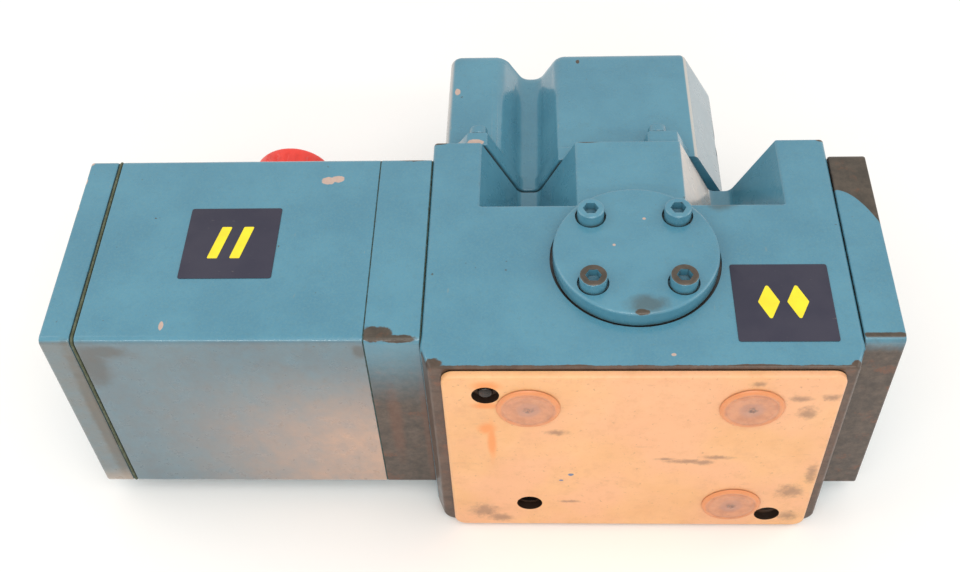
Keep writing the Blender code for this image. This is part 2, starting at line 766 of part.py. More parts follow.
def lid_seat():
    return LEFT_END + LID_SCREW[1] + 0.5


def make_circuit_board():
    """The amplifier card on four pillars, with its larger components."""
    low_x, high_x = CARD_X
    low_y, high_y = SIDE_Y - CARD_WIDTH / 2, SIDE_Y + CARD_WIDTH / 2
    top = SIDE_Z + SIDE_HEIGHT / 2 - WALL - GAP
    high = (high_x, high_y, CARD_Z + CARD_THICKNESS)
    board = box("circuit_board", (low_x, low_y, CARD_Z), high, "circuit_board")
    root = CARD_Z + CARD_THICKNESS / 2
    extras = []
    for x in (low_x + PILLAR_INSET, high_x - PILLAR_INSET):
        for y in (low_y + PILLAR_INSET, high_y - PILLAR_INSET):
            extras.append(rod("Z", (x, y), PILLAR_RADIUS, root, top, 8))
    for x, y, half, height in CARD_PARTS:
        low = (x - half, y - half, root)
        extras.append(box("extra", low, (x + half, y + half, CARD_Z + height)))
    return join(board, extras)


def make_sensor():
    """The pressure tube that the sensor core slides in, and the coil round it."""
    flange = BODY_LEFT - 8.0 - GAP
    profile = (
        (TUBE_END, 0),
        (TUBE_END, TUBE_OUTER),
        (flange - 2.7, TUBE_OUTER),
        (flange - 2.7, CHAMBER - GAP),
        (flange, CHAMBER - GAP),
        (flange, TUBE_INNER),
        (TUBE_END + 3, TUBE_INNER),
        (TUBE_END + 3, 0),
    )
    centre = (SIDE_Y, MID_Z)
    turned("sensor_tube", "X", centre, profile, 16, "steel")
    coil_end = ADAPTER_LEFT - GAP - HOUSING_FLOOR - 1.0
    tube("sensor_coil", "X", centre, TUBE_OUTER + GAP, COIL_RADIUS, TUBE_END + 2, coil_end, 20, "copper")
    rod_end = spool_end(-1) + 8
    low, high = CORE_X
    core = (
        (rod_end, 0),
        (rod_end, CORE_ROD),
        (high, CORE_ROD),
        (high, CORE_RADIUS),
        (low, CORE_RADIUS),
        (low, 0),
    )
    turned("sensor_core", "X", centre, core, 12, "steel")


def make_receptacle():
    """The electrical connector on the housing's back wall."""
    wall = SIDE_Y + SIDE_WIDTH / 2
    centre = (SOCKET_X, SIDE_Z)
    flange_back = wall + 3.0 + GAP
    lip = wall + SOCKET_LIP
    floor = wall + SOCKET_FLOOR
    profile = (
        (wall - 6.0, 0),
        (wall - 6.0, SOCKET_INNER),
        (flange_back - 1, SOCKET_INNER),
        (flange_back - 1, SOCKET_RADIUS),
        (lip, SOCKET_RADIUS),
        (lip, SOCKET_INNER),
        (floor, SOCKET_INNER),
        (floor, 0),
    )
    shell = turned("receptacle", "Y", centre, profile, 24, "aluminium")
    size = (SOCKET_FLANGE, SOCKET_FLANGE)
    square = edged_block("flange", "Y", wall + GAP, flange_back, centre, size, 3.0, (0.3, 0.6), "aluminium")
    return join(shell, [square])


def make_dust_cap():
    """The red cap over the connector."""
    inner = SOCKET_RADIUS + 0.5
    low = CAP_END - CAP_LENGTH
    profile = (
        (CAP_END, 0),
        (CAP_END, CAP_RADIUS - 1.6),
        (CAP_END - 0.5, CAP_RADIUS - 0.5),
        (CAP_END - 1.6, CAP_RADIUS),
        (low, CAP_RADIUS),
        (low, inner),
        (CAP_END - CAP_THICKNESS, inner),
        (CAP_END - CAP_THICKNESS, 0),
    )
    return turned("dust_cap", "Y", (SOCKET_X, SIDE_Z), profile, 24, "red_plastic")


def make_filter_cover():
    """The round cover on the label face, with its filter and seal underneath."""
    low = BODY_HEIGHT - COVER_SEAT + GAP
    top = BODY_HEIGHT + COVER_PROUD
    centre = (BODY_X, COVER_Y)
    profile = ((low, 0), (low, COVER_RADIUS), (top - 1.2, COVER_RADIUS), (top, COVER_RADIUS - 1.2), (top, 0))
    cover = turned("filter_cover", "Z", centre, profile, 32, "blue_paint")
    cutters = [tube("cutter", "Z", centre, *COVER_GROOVE, low - 1, low + 2.0, 20)]
    for point in cover_points():
        shank = COVER_SCREW[2] + SCREW_ROOM
        head = COVER_SCREW[0] + 0.6
        cutters.append(counterbore("Z", point, shank, head, low - 1, cover_screw_seat(), top + 1))
    carve(cover, cutters)
    make_seal("filter_cover_seal", "Z", centre, low + 1.0, COVER_SEAL_RADIUS)
    cavity_floor = BODY_HEIGHT - COVER_SEAT - FILTER_DEPTH
    disc = ((cavity_floor + GAP, 0), (cavity_floor + GAP, 15.0), (low - 1.5, 15.0), (low - 1.5, 0))
    turned("filter_disc", "Z", centre, disc, 20, "filter_bronze")


def cover_points():
    return four(COVER_PATTERN, COVER_PATTERN, (BODY_X, COVER_Y))


def cover_screw_seat():
    return BODY_HEIGHT + COVER_PROUD - 2.5


def pilot_outline(rise, lips):
    """The pilot housing's outline across Y: the bolt groove on the left, a sloping side on the right."""
    left_lip, right_lip, floor = lips
    groove = BODY_X - BOLT_X
    wide = pocket_edges(PILOT_TOP)
    bottom = BODY_HEIGHT - POCKET_DEPTH + rise
    upper = [
        (PILOT_LEFT + PILOT_LEFT_DRAFT, PILOT_TOP, 4.0),
        (groove - wide, PILOT_TOP, left_lip),
        (groove - POCKET_BOTTOM, bottom, floor),
        (groove + POCKET_BOTTOM, bottom, floor),
        (groove + wide, PILOT_TOP, right_lip),
        (*PILOT_SLOPE[0], 2.5),
        (*PILOT_SLOPE[1], 6.0),
    ]
    lower = [(u, BODY_HEIGHT - v, radius) for u, v, radius in reversed(upper)]
    return round_outline([(PILOT_LEFT, MID_Z, 0)] + upper + lower)


def flange_outline(inset):
    """The pilot housing's base flange: two ears above and two below, with the bolt grooves between."""
    left = FLANGE_LEFT + inset
    flat = PILOT_TOP + 2.0 - inset
    top = EAR_TOP - inset
    groove = BODY_X - BOLT_X
    bottom = BODY_HEIGHT - POCKET_DEPTH - inset
    narrow = POCKET_BOTTOM - 1.0 + inset
    left_wall = groove - pocket_edges(top) + 1.0 - inset
    right_wall = groove + pocket_edges(flat) - 1.0 + inset
    slope_top = BODY_X + BOLT_X - pocket_edges(top) - 1.5 - inset
    slope_low = BODY_X + BOLT_X - pocket_edges(84.0) - 1.5 - inset
    upper = [
        (left, flat - 2.0, 1.5),
        (EAR_X[0] - 8.0 + inset, EAR_SCREW_Z - 1.0, 1.0),
        (EAR_X[0] - 4.4 + inset, top, 1.5),
        (left_wall, top, 1.0),
        (groove - narrow, bottom, 3.0),
        (groove + narrow, bottom, 3.0),
        (right_wall, flat, 1.5),
        (EAR_X[1] - 7.0 + inset, flat, 1.0),
        (EAR_X[1] - 4.6 + inset, top, 1.5),
        (slope_top, top, 1.5),
        (slope_low, 84.0 - inset, 3.0),
    ]
    lower = [(u, BODY_HEIGHT - v, radius) for u, v, radius in reversed(upper)]
    return round_outline(upper + lower, 2)


def scaled(outline, factor):
    """An outline drawn in towards the pilot housing's middle."""
    centre = PILOT_CENTRE_X
    return [(centre + (u - centre) * factor, MID_Z + (v - MID_Z) * factor) for u, v in outline]


def make_pilot_housing():
    """The cast pilot housing: a drafted block on a flange, bored for the pilot spool and its coil."""
    outline = pilot_outline(PILOT_GROOVE_RISE, PILOT_BACK_LIPS)
    rings = (
        (PILOT_FRONT + 3, pilot_outline(0, PILOT_FRONT_LIPS)),
        (BACK - PILOT_BACK_ROUND, scaled(outline, 0.992)),
        (BACK - PILOT_BACK_ROUND * 0.3, scaled(outline, 0.98)),
        (BACK, scaled(outline, 0.95)),
    )
    block = make_object("pilot_housing", rings, "Y", False, "blue_paint")
    flange = prism("flange", "Y", PILOT_FRONT, PILOT_FRONT + FLANGE_DEPTH, flange_outline(0))
    join(block, [flange])
    axis = (PILOT_Y, MID_Z)
    left = -20.0
    right = 120.0
    cutters = [
        rod("X", axis, PILOT_BORE, left, PILOT_COIL_SEAT + 1, 16),
        rod("X", axis, PILOT_PLUG_BORE, left, PILOT_PLUG_SEAT, 16),
        rod("X", axis, PILOT_COIL_BORE, PILOT_COIL_SEAT, right, 24),
    ]
    for x in PASSAGE_X:
        cutters.append(rod("Y", (x, MID_Z), PASSAGE, PILOT_FRONT - 1, PILOT_Y, 8))
    for point in ear_points():
        cutters.append(rod("Y", point, PILOT_SCREW[2] + SCREW_ROOM, PILOT_FRONT - 1, pilot_seat() + 1, 12))
        cutters.append(rod("Y", point, PILOT_SCREW[0] + 0.6, pilot_seat(), pilot_seat() + 9, 12))
    return carve(block, cutters)


def pilot_seat():
    return PILOT_FRONT + FLANGE_DEPTH


def make_pilot_gasket():
    low, high = PARTING + GAP, PILOT_FRONT - GAP
    gasket = prism("pilot_gasket", "Y", low, high, flange_outline(1.2), "seal_rubber")
    cutters = [rod("Y", (x, MID_Z), PASSAGE + 0.5, low - 1, high + 1, 8) for x in PASSAGE_X]
    for point in ear_points():
        cutters.append(rod("Y", point, PILOT_SCREW[2] + SCREW_ROOM, low - 1, high + 1, 12))
    return carve(gasket, cutters)


def make_pilot_stage():
    """The pilot spool, its spring, the coil and armature, and the plugs at both ends."""
    axis = (PILOT_Y, MID_Z)
    make_pilot_spool(axis)
    make_coil("pilot_spring", axis, *PILOT_SPRING)
    rod_end, shoulder, tail = ARMATURE_X
    armature = (
        (rod_end, 0),
        (rod_end, 2.5),
        (shoulder, 2.5),
        (shoulder, ARMATURE_RADIUS),
        (tail, ARMATURE_RADIUS),
        (tail, 0),
    )
    turned("pilot_armature", "X", axis, armature, 12, "steel")
    tube("pilot_coil", "X", axis, ARMATURE_RADIUS + 0.7, PILOT_COIL_BORE - 0.7, *PILOT_COIL_X, 16, "copper")
    outer, inner = PILOT_PLUG_X
    plug = (
        (outer + 3.5, 0),
        (outer + 3.5, 3.6, "hex"),
        (outer, 3.6, "hex"),
        (outer, PILOT_PLUG_RADIUS - 0.5),
        (outer + 0.5, PILOT_PLUG_RADIUS),
        (inner, PILOT_PLUG_RADIUS),
        (inner, 0),
    )
    turned("pilot_end_plug", "X", axis, plug, 12, "steel")
    core_end, rim, face = PILOT_CAP_X
    cap = (
        (core_end, 0),
        (core_end, ARMATURE_RADIUS),
        (rim, ARMATURE_RADIUS),
        (rim, PILOT_COIL_BORE - GAP),
        (face - 1.5, PILOT_COIL_BORE - GAP),
        (face, PILOT_COIL_BORE - GAP - 1.5),
        (face, 0),
    )
    turned("pilot_end_cap", "X", axis, cap, 20, "aluminium")


def make_pilot_spool(axis):
    low, high = PILOT_SPOOL_X
    profile = [(low, 0), (low, PILOT_SPOOL_RADIUS)]
    for middle in PASSAGE_X[1:3]:
        profile += [
            (middle - 3.5, PILOT_SPOOL_RADIUS),
            (middle - 3.5, PILOT_WAIST),
            (middle + 3.5, PILOT_WAIST),
            (middle + 3.5, PILOT_SPOOL_RADIUS),
        ]
    profile += [(high, PILOT_SPOOL_RADIUS), (high, 0)]
    turned("pilot_spool", "X", axis, profile, 16, "steel")


def make_shipping_plate():
    """The moulded plate over the mounting face."""
    centre, width, height, radii = plate_outline(0)
    corner = radii[0]
    low = MOUNT_FACE - GAP - PLATE_THICKNESS
    high = MOUNT_FACE - GAP
    size = (width, height)
    plate = edged_block("shipping_plate", "Y", low, high, centre, size, corner, (1.3, 0.2), "tan_plastic")
    cutters = [rod("Y", point, BOLT_HOLE, low - 1, high + 1, 16) for point in bolt_points()]
    for point in (pin_point(), (BODY_X + PLATE_HOLE_X, BOLT_MID_Z - PLATE_HOLE_Z)):
        cutters.append(rod("Y", point, PLATE_HOLE, low - 1, high + 1, 16))
    return carve(plate, cutters)


def make_plate_plug(name, point):
    """A push-in plug that holds the shipping plate by a bolt hole."""
    plate_front = MOUNT_FACE - GAP - PLATE_THICKNESS
    head_back = plate_front - GAP
    stem = BOLT_HOLE - 0.4
    profile = (
        (FRONT, 0),
        (FRONT, 10.8),
        (FRONT + 0.5, 12.0),
        (head_back, 12.4),
        (head_back, stem),
        (MOUNT_FACE + 12, stem),
        (MOUNT_FACE + 14, stem - 1.2),
        (MOUNT_FACE + 14, 0),
    )
    return turned(name, "Y", point, profile, 16, "orange_plastic")


def make_locating_pin():
    """The dowel in the mounting face that stops the valve being fitted the wrong way round."""
    low = MOUNT_FACE - 3.0
    high = low + PIN_LENGTH
    chamfer = 0.8
    profile = (
        (low, 0),
        (low, PIN_RADIUS - chamfer),
        (low + chamfer, PIN_RADIUS),
        (high, PIN_RADIUS),
        (high, 0),
    )
    return turned("locating_pin", "Y", pin_point(), profile, 12, "steel")


def make_label(name, x, y):
    """A square adhesive label on the label face."""
    low = BODY_HEIGHT + LABEL_GAP
    outline = rectangle((x, y), LABEL, LABEL, (1.0,) * 4, 2)
    return prism(name, "Z", low, low + LABEL_THICKNESS, outline, "label_film")


def make_screws():
    """Every screw, in groups of four."""
    side = (SIDE_Y, SIDE_Z)
    housing_floor = ADAPTER_LEFT - GAP - HOUSING_FLOOR
    for i, point in enumerate(cover_points(), 1):
        socket_screw(f"filter_cover_screw_{i}", "Z", point, cover_screw_seat() + 0.1, 1, COVER_SCREW)
    for i, point in enumerate(four(*END_PATTERN, side), 1):
        socket_screw(f"end_plate_screw_{i}", "X", point, end_seat() + 0.1, 1, END_SCREW)
    for i, point in enumerate(four(*HOUSING_PATTERN, side), 1):
        socket_screw(f"housing_screw_{i}", "X", point, housing_floor - 0.1, -1, HOUSING_SCREW)
    for i, point in enumerate(four(*LID_PATTERN, side), 1):
        socket_screw(f"end_cover_screw_{i}", "X", point, lid_seat() - 0.1, -1, LID_SCREW)
    for i, point in enumerate(ear_points(), 1):
        socket_screw(f"pilot_screw_{i}", "Y", point, pilot_seat() + 0.1, 1, PILOT_SCREW)


def build():
    clear_scene()
    centre = (SIDE_Y, MID_Z)
    make_body()
    make_sleeve()
    make_spool()
    for name, side in (("left", -1), ("right", 1)):
        make_spring_seat(f"spring_seat_{name}", side)
        make_main_spring(f"centring_spring_{name}", side)
    make_end_plate()
    make_seal("end_plate_seal", "X", centre, BODY_RIGHT + GAP + 1.0, SEAL_RADIUS)
    make_adapter()
    make_seal("adapter_seal", "X", centre, BODY_LEFT - GAP - 1.0, SEAL_RADIUS)
    make_housing()
    make_gasket()
    make_end_cover()
    make_circuit_board()
    make_sensor()
    make_receptacle()
    make_dust_cap()
    make_filter_cover()
    make_pilot_housing()
    make_pilot_gasket()
    make_pilot_stage()
    make_shipping_plate()
    points = bolt_points()
    for i, corner in enumerate((3, 2, 1), 1):
        make_plate_plug(f"plate_plug_{i}", points[corner])
    make_locating_pin()
    make_label("left_label", *LEFT_LABEL)
    make_label("right_label", *RIGHT_LABEL)
    make_screws()


build()
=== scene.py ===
"""Looks for the hydraulic spool valve: smooth castings, worn paint, screws, labels, plate and studio.

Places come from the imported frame. Sizes are in millimetres; MM turns them into metres.
"""

import json
import math
import random

import bmesh
import bpy
from mathutils import Matrix, Vector


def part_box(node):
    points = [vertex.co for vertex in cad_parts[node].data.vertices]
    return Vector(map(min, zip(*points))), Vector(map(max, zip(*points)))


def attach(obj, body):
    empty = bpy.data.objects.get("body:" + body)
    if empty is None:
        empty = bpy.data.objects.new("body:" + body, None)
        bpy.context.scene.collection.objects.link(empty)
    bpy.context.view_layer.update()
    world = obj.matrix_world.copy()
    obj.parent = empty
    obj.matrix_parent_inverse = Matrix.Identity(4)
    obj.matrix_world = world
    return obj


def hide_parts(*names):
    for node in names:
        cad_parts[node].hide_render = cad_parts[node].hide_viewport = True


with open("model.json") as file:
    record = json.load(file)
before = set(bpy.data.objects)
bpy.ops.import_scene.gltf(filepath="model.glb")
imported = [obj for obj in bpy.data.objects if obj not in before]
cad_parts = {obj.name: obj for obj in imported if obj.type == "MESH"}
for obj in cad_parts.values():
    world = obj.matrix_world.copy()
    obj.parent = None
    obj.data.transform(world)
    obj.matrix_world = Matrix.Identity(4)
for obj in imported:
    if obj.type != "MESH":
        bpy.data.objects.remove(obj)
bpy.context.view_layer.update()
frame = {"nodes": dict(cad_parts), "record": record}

MM = 0.001
SEED = 7

# Camera
CAMERA_PLACE = (28.1, -372.3, 502.1)
CAMERA_PITCH = 50.6
CAMERA_YAW = -4.19
CAMERA_ROLL = -3.49
CAMERA_LENS = 47.57

# Shared shapes
BOLT_OFFSET = (42.85, 36.5)
BOLT_MID_Z = 57.0
BOLT_HOLE = 5.4
POCKET_DEPTH = 31.5
POCKET_LENGTH = 37.8
POCKET_BOTTOM = 4.45
POCKET_SLOPE = math.tan(math.radians(27.0))
POCKET_CORNER = 4.0
PORT_CIRCLE = 25.4
TAPER_DEPTH = 9.5
TAPER_WIDTH = 3.5
BLOCK_CORNER = 2.7
COVER_PATTERN = 17.5
COVER_SEAT = 1.2
PLATE_HOLES = (59.15, 44.95)
PLATE_HOLE = 5.35
EAR_X = (1.5, 80.7)
EAR_TOP = 112.4
EAR_SCREW = 4.1
PILOT_TOP = 101.0
PILOT_BORE = 19.2
PILOT_RISE = 2.8
PILOT_CENTRE = 49.4
PILOT_LEFT_DRAFT = 4.2
PILOT_SLOPE = ((98.2, PILOT_TOP), (112.6, 75.5))
PILOT_FRONT_LIPS = (5.5, 1.5, 4.0)
PILOT_BACK_LIPS = (7.5, 6.5, 6.5)
PILOT_BACK_ROUND = 4.5
FLANGE_LEFT = -13.7
FLANGE_DEPTH = 8.0
CAP_WALL = 4.0
CONNECTOR_FLANGE = 3.3
SENSOR_BORE = 8.2
SCREW_HOLE = 4.3
LID_SCREW_HOLE = 2.8
EAR_SCREW_HOLE = 2.7
LABEL_FILM = 0.2


def extent(node):
    """Lowest and highest corner of a CAD node, in millimetres."""
    low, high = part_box(node)
    return low / MM, high / MM


def middle(node):
    low, high = extent(node)
    return (low + high) / 2


BODY_LOW, BODY_HIGH = extent("main_body")
BODY_X = (BODY_LOW.x + BODY_HIGH.x) / 2
BODY_TOP = BODY_HIGH.z
MOUNT_FACE = BODY_LOW.y
PARTING = BODY_HIGH.y
SIDE = middle("electronics_housing")
BORE_Z = BODY_TOP / 2
COVER = middle("filter_cover")
CAP = middle("dust_cap")
PLATE = middle("shipping_plate")


# ---------------------------------------------------------------- meshes

def place(axis, along, across):
    u, v = across
    point = {"X": (along, u, v), "Y": (u, along, v), "Z": (u, v, along)}[axis]
    return Vector(point) * MM


def bridge(mesh, first, second):
    """Faces between two rings of the same length, or between a ring and a tip."""
    count = max(len(first), len(second))
    for i in range(count):
        j = (i + 1) % count
        if len(first) == 1:
            corners = (first[0], second[j], second[i])
        elif len(second) == 1:
            corners = (first[i], first[j], second[0])
        else:
            corners = (first[i], first[j], second[j], second[i])
        mesh.faces.new(corners)


def loft(name, axis, rings, loop=False):
    """A closed solid through rings, each (distance along, points across)."""
    mesh = bmesh.new()
    loops = [[mesh.verts.new(place(axis, along, p)) for p in points] for along, points in rings]
    pairs = list(zip(loops, loops[1:]))
    if loop:
        pairs.append((loops[-1], loops[0]))
    for first, second in pairs:
        bridge(mesh, first, second)
    if not loop:
        for end in (loops[0], loops[-1]):
            if len(end) > 2:
                mesh.faces.new(end)
    return settle(name, mesh)


def settle(name, mesh):
    """An object from a finished bmesh, with its faces turned outwards."""
    bmesh.ops.recalc_face_normals(mesh, faces=mesh.faces)
    data = bpy.data.meshes.new(name)
    mesh.to_mesh(data)
    mesh.free()
    data.shade_smooth()
    piece = bpy.data.objects.new(name, data)
    bpy.context.scene.collection.objects.link(piece)
    return piece


def unit(u, v):
    length = math.hypot(u, v)
    return u / length, v / length


def corner_arc(before, corner, after, radius, steps):
    """The arc that rounds one corner of an outline."""
    to_before = unit(before[0] - corner[0], before[1] - corner[1])
    to_after = unit(after[0] - corner[0], after[1] - corner[1])
    cosine = to_before[0] * to_after[0] + to_before[1] * to_after[1]
    half = math.acos(max(-1.0, min(1.0, cosine))) / 2
    way = unit(to_before[0] + to_after[0], to_before[1] + to_after[1])
    out = radius / math.sin(half)
    centre = (corner[0] + way[0] * out, corner[1] + way[1] * out)
    reach = radius / math.tan(half)
    start = (corner[0] + to_before[0] * reach, corner[1] + to_before[1] * reach)
    end = (corner[0] + to_after[0] * reach, corner[1] + to_after[1] * reach)
    first = math.atan2(start[1] - centre[1], start[0] - centre[0])
    turn = math.atan2(end[1] - centre[1], end[0] - centre[0]) - first
    turn = (turn + math.pi) % (2 * math.pi) - math.pi
    angles = [first + turn * step / steps for step in range(steps + 1)]
    return [(centre[0] + radius * math.cos(a), centre[1] + radius * math.sin(a)) for a in angles]


def rounded(corners, steps=8):
    """A closed outline whose corners, each (u, v, radius), are arcs."""
    points = []
    for i, (u, v, radius) in enumerate(corners):
        if radius <= 0:
            points.append((u, v))
            continue
        before = corners[i - 1][:2]
        after = corners[(i + 1) % len(corners)][:2]
        points.extend(corner_arc(before, (u, v), after, radius, steps))
    return points


def rectangle(centre, width, height, radii, steps=8):
    u0, u1 = centre[0] - width / 2, centre[0] + width / 2
    v0, v1 = centre[1] - height / 2, centre[1] + height / 2
    corners = zip(((u0, v0), (u1, v0), (u1, v1), (u0, v1)), radii)
    return rounded([(u, v, radius) for (u, v), radius in corners], steps)


def prism(name, axis, low, high, outline):
    return loft(name, axis, ((low, outline), (high, outline)))


def circle(centre, radius, segments):
    if radius <= 0:
        return [tuple(centre)]
    angles = [2 * math.pi * i / segments for i in range(segments)]
    return [(centre[0] + radius * math.cos(a), centre[1] + radius * math.sin(a)) for a in angles]


def shrunk(outline, centre, share):
    """An outline drawn in towards a centre."""
    return [tuple(c + (value - c) * share for value, c in zip(point, centre)) for point in outline]


def fluted(centre, radius, segments, depth, every, sunk):
    """A circle whose sunk points, counted within every so many points, lie deeper."""
    points = []
    for i, point in enumerate(circle(centre, radius, segments)):
        share = 1.0 - (depth / radius if i % every in sunk else 0.0)
        points += shrunk([point], centre, share)
    return points


def quarter(steps):
    """Sine and cosine at equal steps over a quarter turn."""
    angles = [math.pi / 2 * step / steps for step in range(steps + 1)]
    return [(math.sin(angle), math.cos(angle)) for angle in angles]


def round_over(end, direction, radius, fillet, steps):
    """Profile points that round a turned piece's rim; the direction points out of its end."""
    turn = quarter(steps)
    return [(end - direction * fillet * (1 - sine), radius - fillet * (1 - cosine)) for sine, cosine in turn]


def turned(name, axis, centre, profile, segments=64):
    """A turned solid; the profile is (along, radius), or (along, outline) where it isn't round."""
    rings = []
    for along, shape in profile:
        rings.append((along, shape if isinstance(shape, list) else circle(centre, shape, segments)))
    return loft(name, axis, rings, all(len(points) > 1 for _, points in rings))


def rod(axis, centre, radius, low, high, segments=48):
    profile = ((low, 0), (low, radius), (high, radius), (high, 0))
    return turned("cutter", axis, centre, profile, segments)


def stepped(axis, point, shank, head, tip, seat, mouth, segments=48):
    """A counterbore's cutter."""
    profile = ((tip, 0), (tip, shank), (seat, shank), (seat, head), (mouth, head), (mouth, 0))
    return turned("cutter", axis, point, profile, segments)


def combine(target, others, operation):
    for other in others:
        modifier = target.modifiers.new("boolean", "BOOLEAN")
        modifier.operation = operation
        modifier.solver = "MANIFOLD"
        modifier.object = other
    apply_modifiers(target)
    for other in others:
        bpy.data.objects.remove(other)
    return target


def apply_modifiers(target):
    graph = bpy.context.evaluated_depsgraph_get()
    result = bpy.data.meshes.new_from_object(target.evaluated_get(graph))
    target.modifiers.clear()
    target.data = result


def carve(target, cutters):
    return combine(target, cutters, "DIFFERENCE")


def soften(piece, width, segments=2, angle=32.0):
    """Round every edge sharper than the angle, and shade the flats flat."""
    bevel = piece.modifiers.new("bevel", "BEVEL")
    bevel.width = width * MM
    bevel.segments = segments
    bevel.limit_method = "ANGLE"
    bevel.angle_limit = math.radians(angle)
    bevel.use_clamp_overlap = False
    bevel.miter_outer = "MITER_ARC"
    apply_modifiers(piece)
    tidy_mesh(piece)
    return level_normals(piece)


def crease(piece, angle):
    """Keep the edges sharper than the angle sharp."""
    piece.data.set_sharp_from_angle(angle=math.radians(angle))
    return piece


def tidy_mesh(piece):
    """Merge the doubled points and slivers that rounding leaves, and split the large faces."""
    mesh = bmesh.new()
    mesh.from_mesh(piece.data)
    bmesh.ops.remove_doubles(mesh, verts=mesh.verts, dist=0.001 * MM)
    bmesh.ops.dissolve_degenerate(mesh, edges=mesh.edges, dist=0.001 * MM)
    large = [face for face in mesh.faces if len(face.verts) > 4]
    bmesh.ops.triangulate(mesh, faces=large, ngon_method="BEAUTY")
    mesh.to_mesh(piece.data)
    mesh.free()


def finish_casting(piece):
    """Shade a casting whose openings were cut after its outer edges were rounded."""
    tidy_mesh(piece)
    crease(piece, 30.0)
    part_flats(piece)
    return level_normals(piece)


def part_flats(piece):
    """Mark the edges of the large flats as sharp, so that no rounding bends their shading."""
    mesh = bmesh.new()
    mesh.from_mesh(piece.data)
    level, large = math.radians(0.4), 150 * MM * MM
    regions = {}
    for start in mesh.faces:
        if start in regions:
            continue
        region, waiting = [], [start]
        regions[start] = region
        while waiting:
            face = waiting.pop()
            region.append(face)
            for edge in face.edges:
                if edge.calc_face_angle(math.pi) > level:
                    continue
                for other in edge.link_faces:
                    if other not in regions:
                        regions[other] = region
                        waiting.append(other)
    flat = {face for face in mesh.faces if sum(part.calc_area() for part in regions[face]) > large}
    for edge in mesh.edges:
        if edge.calc_face_angle(math.pi) > level and any(face in flat for face in edge.link_faces):
            edge.smooth = False
    mesh.to_mesh(piece.data)
    mesh.free()


def level_normals(piece):
    """Shade the flats flat and the narrow roundings smooth."""
    piece.data.shade_smooth()
    weighted = piece.modifiers.new("normals", "WEIGHTED_NORMAL")
    weighted.weight = 80
    weighted.keep_sharp = True
    apply_modifiers(piece)
    return piece


def four(half_u, half_v, centre):
    signs = ((-1, -1), (1, -1), (1, 1), (-1, 1))
    return [(centre[0] + su * half_u, centre[1] + sv * half_v) for su, sv in signs]


def dress(piece, material, body, slot, *nodes):
    """Give a piece its material and body, and hide the CAD nodes that it stands for; the slot is not used.
    """
    piece.data.materials.clear()
    piece.data.materials.append(material)
    if nodes:
        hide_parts(*nodes)
    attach(piece, body)
    return piece


# ---------------------------------------------------------------- materials

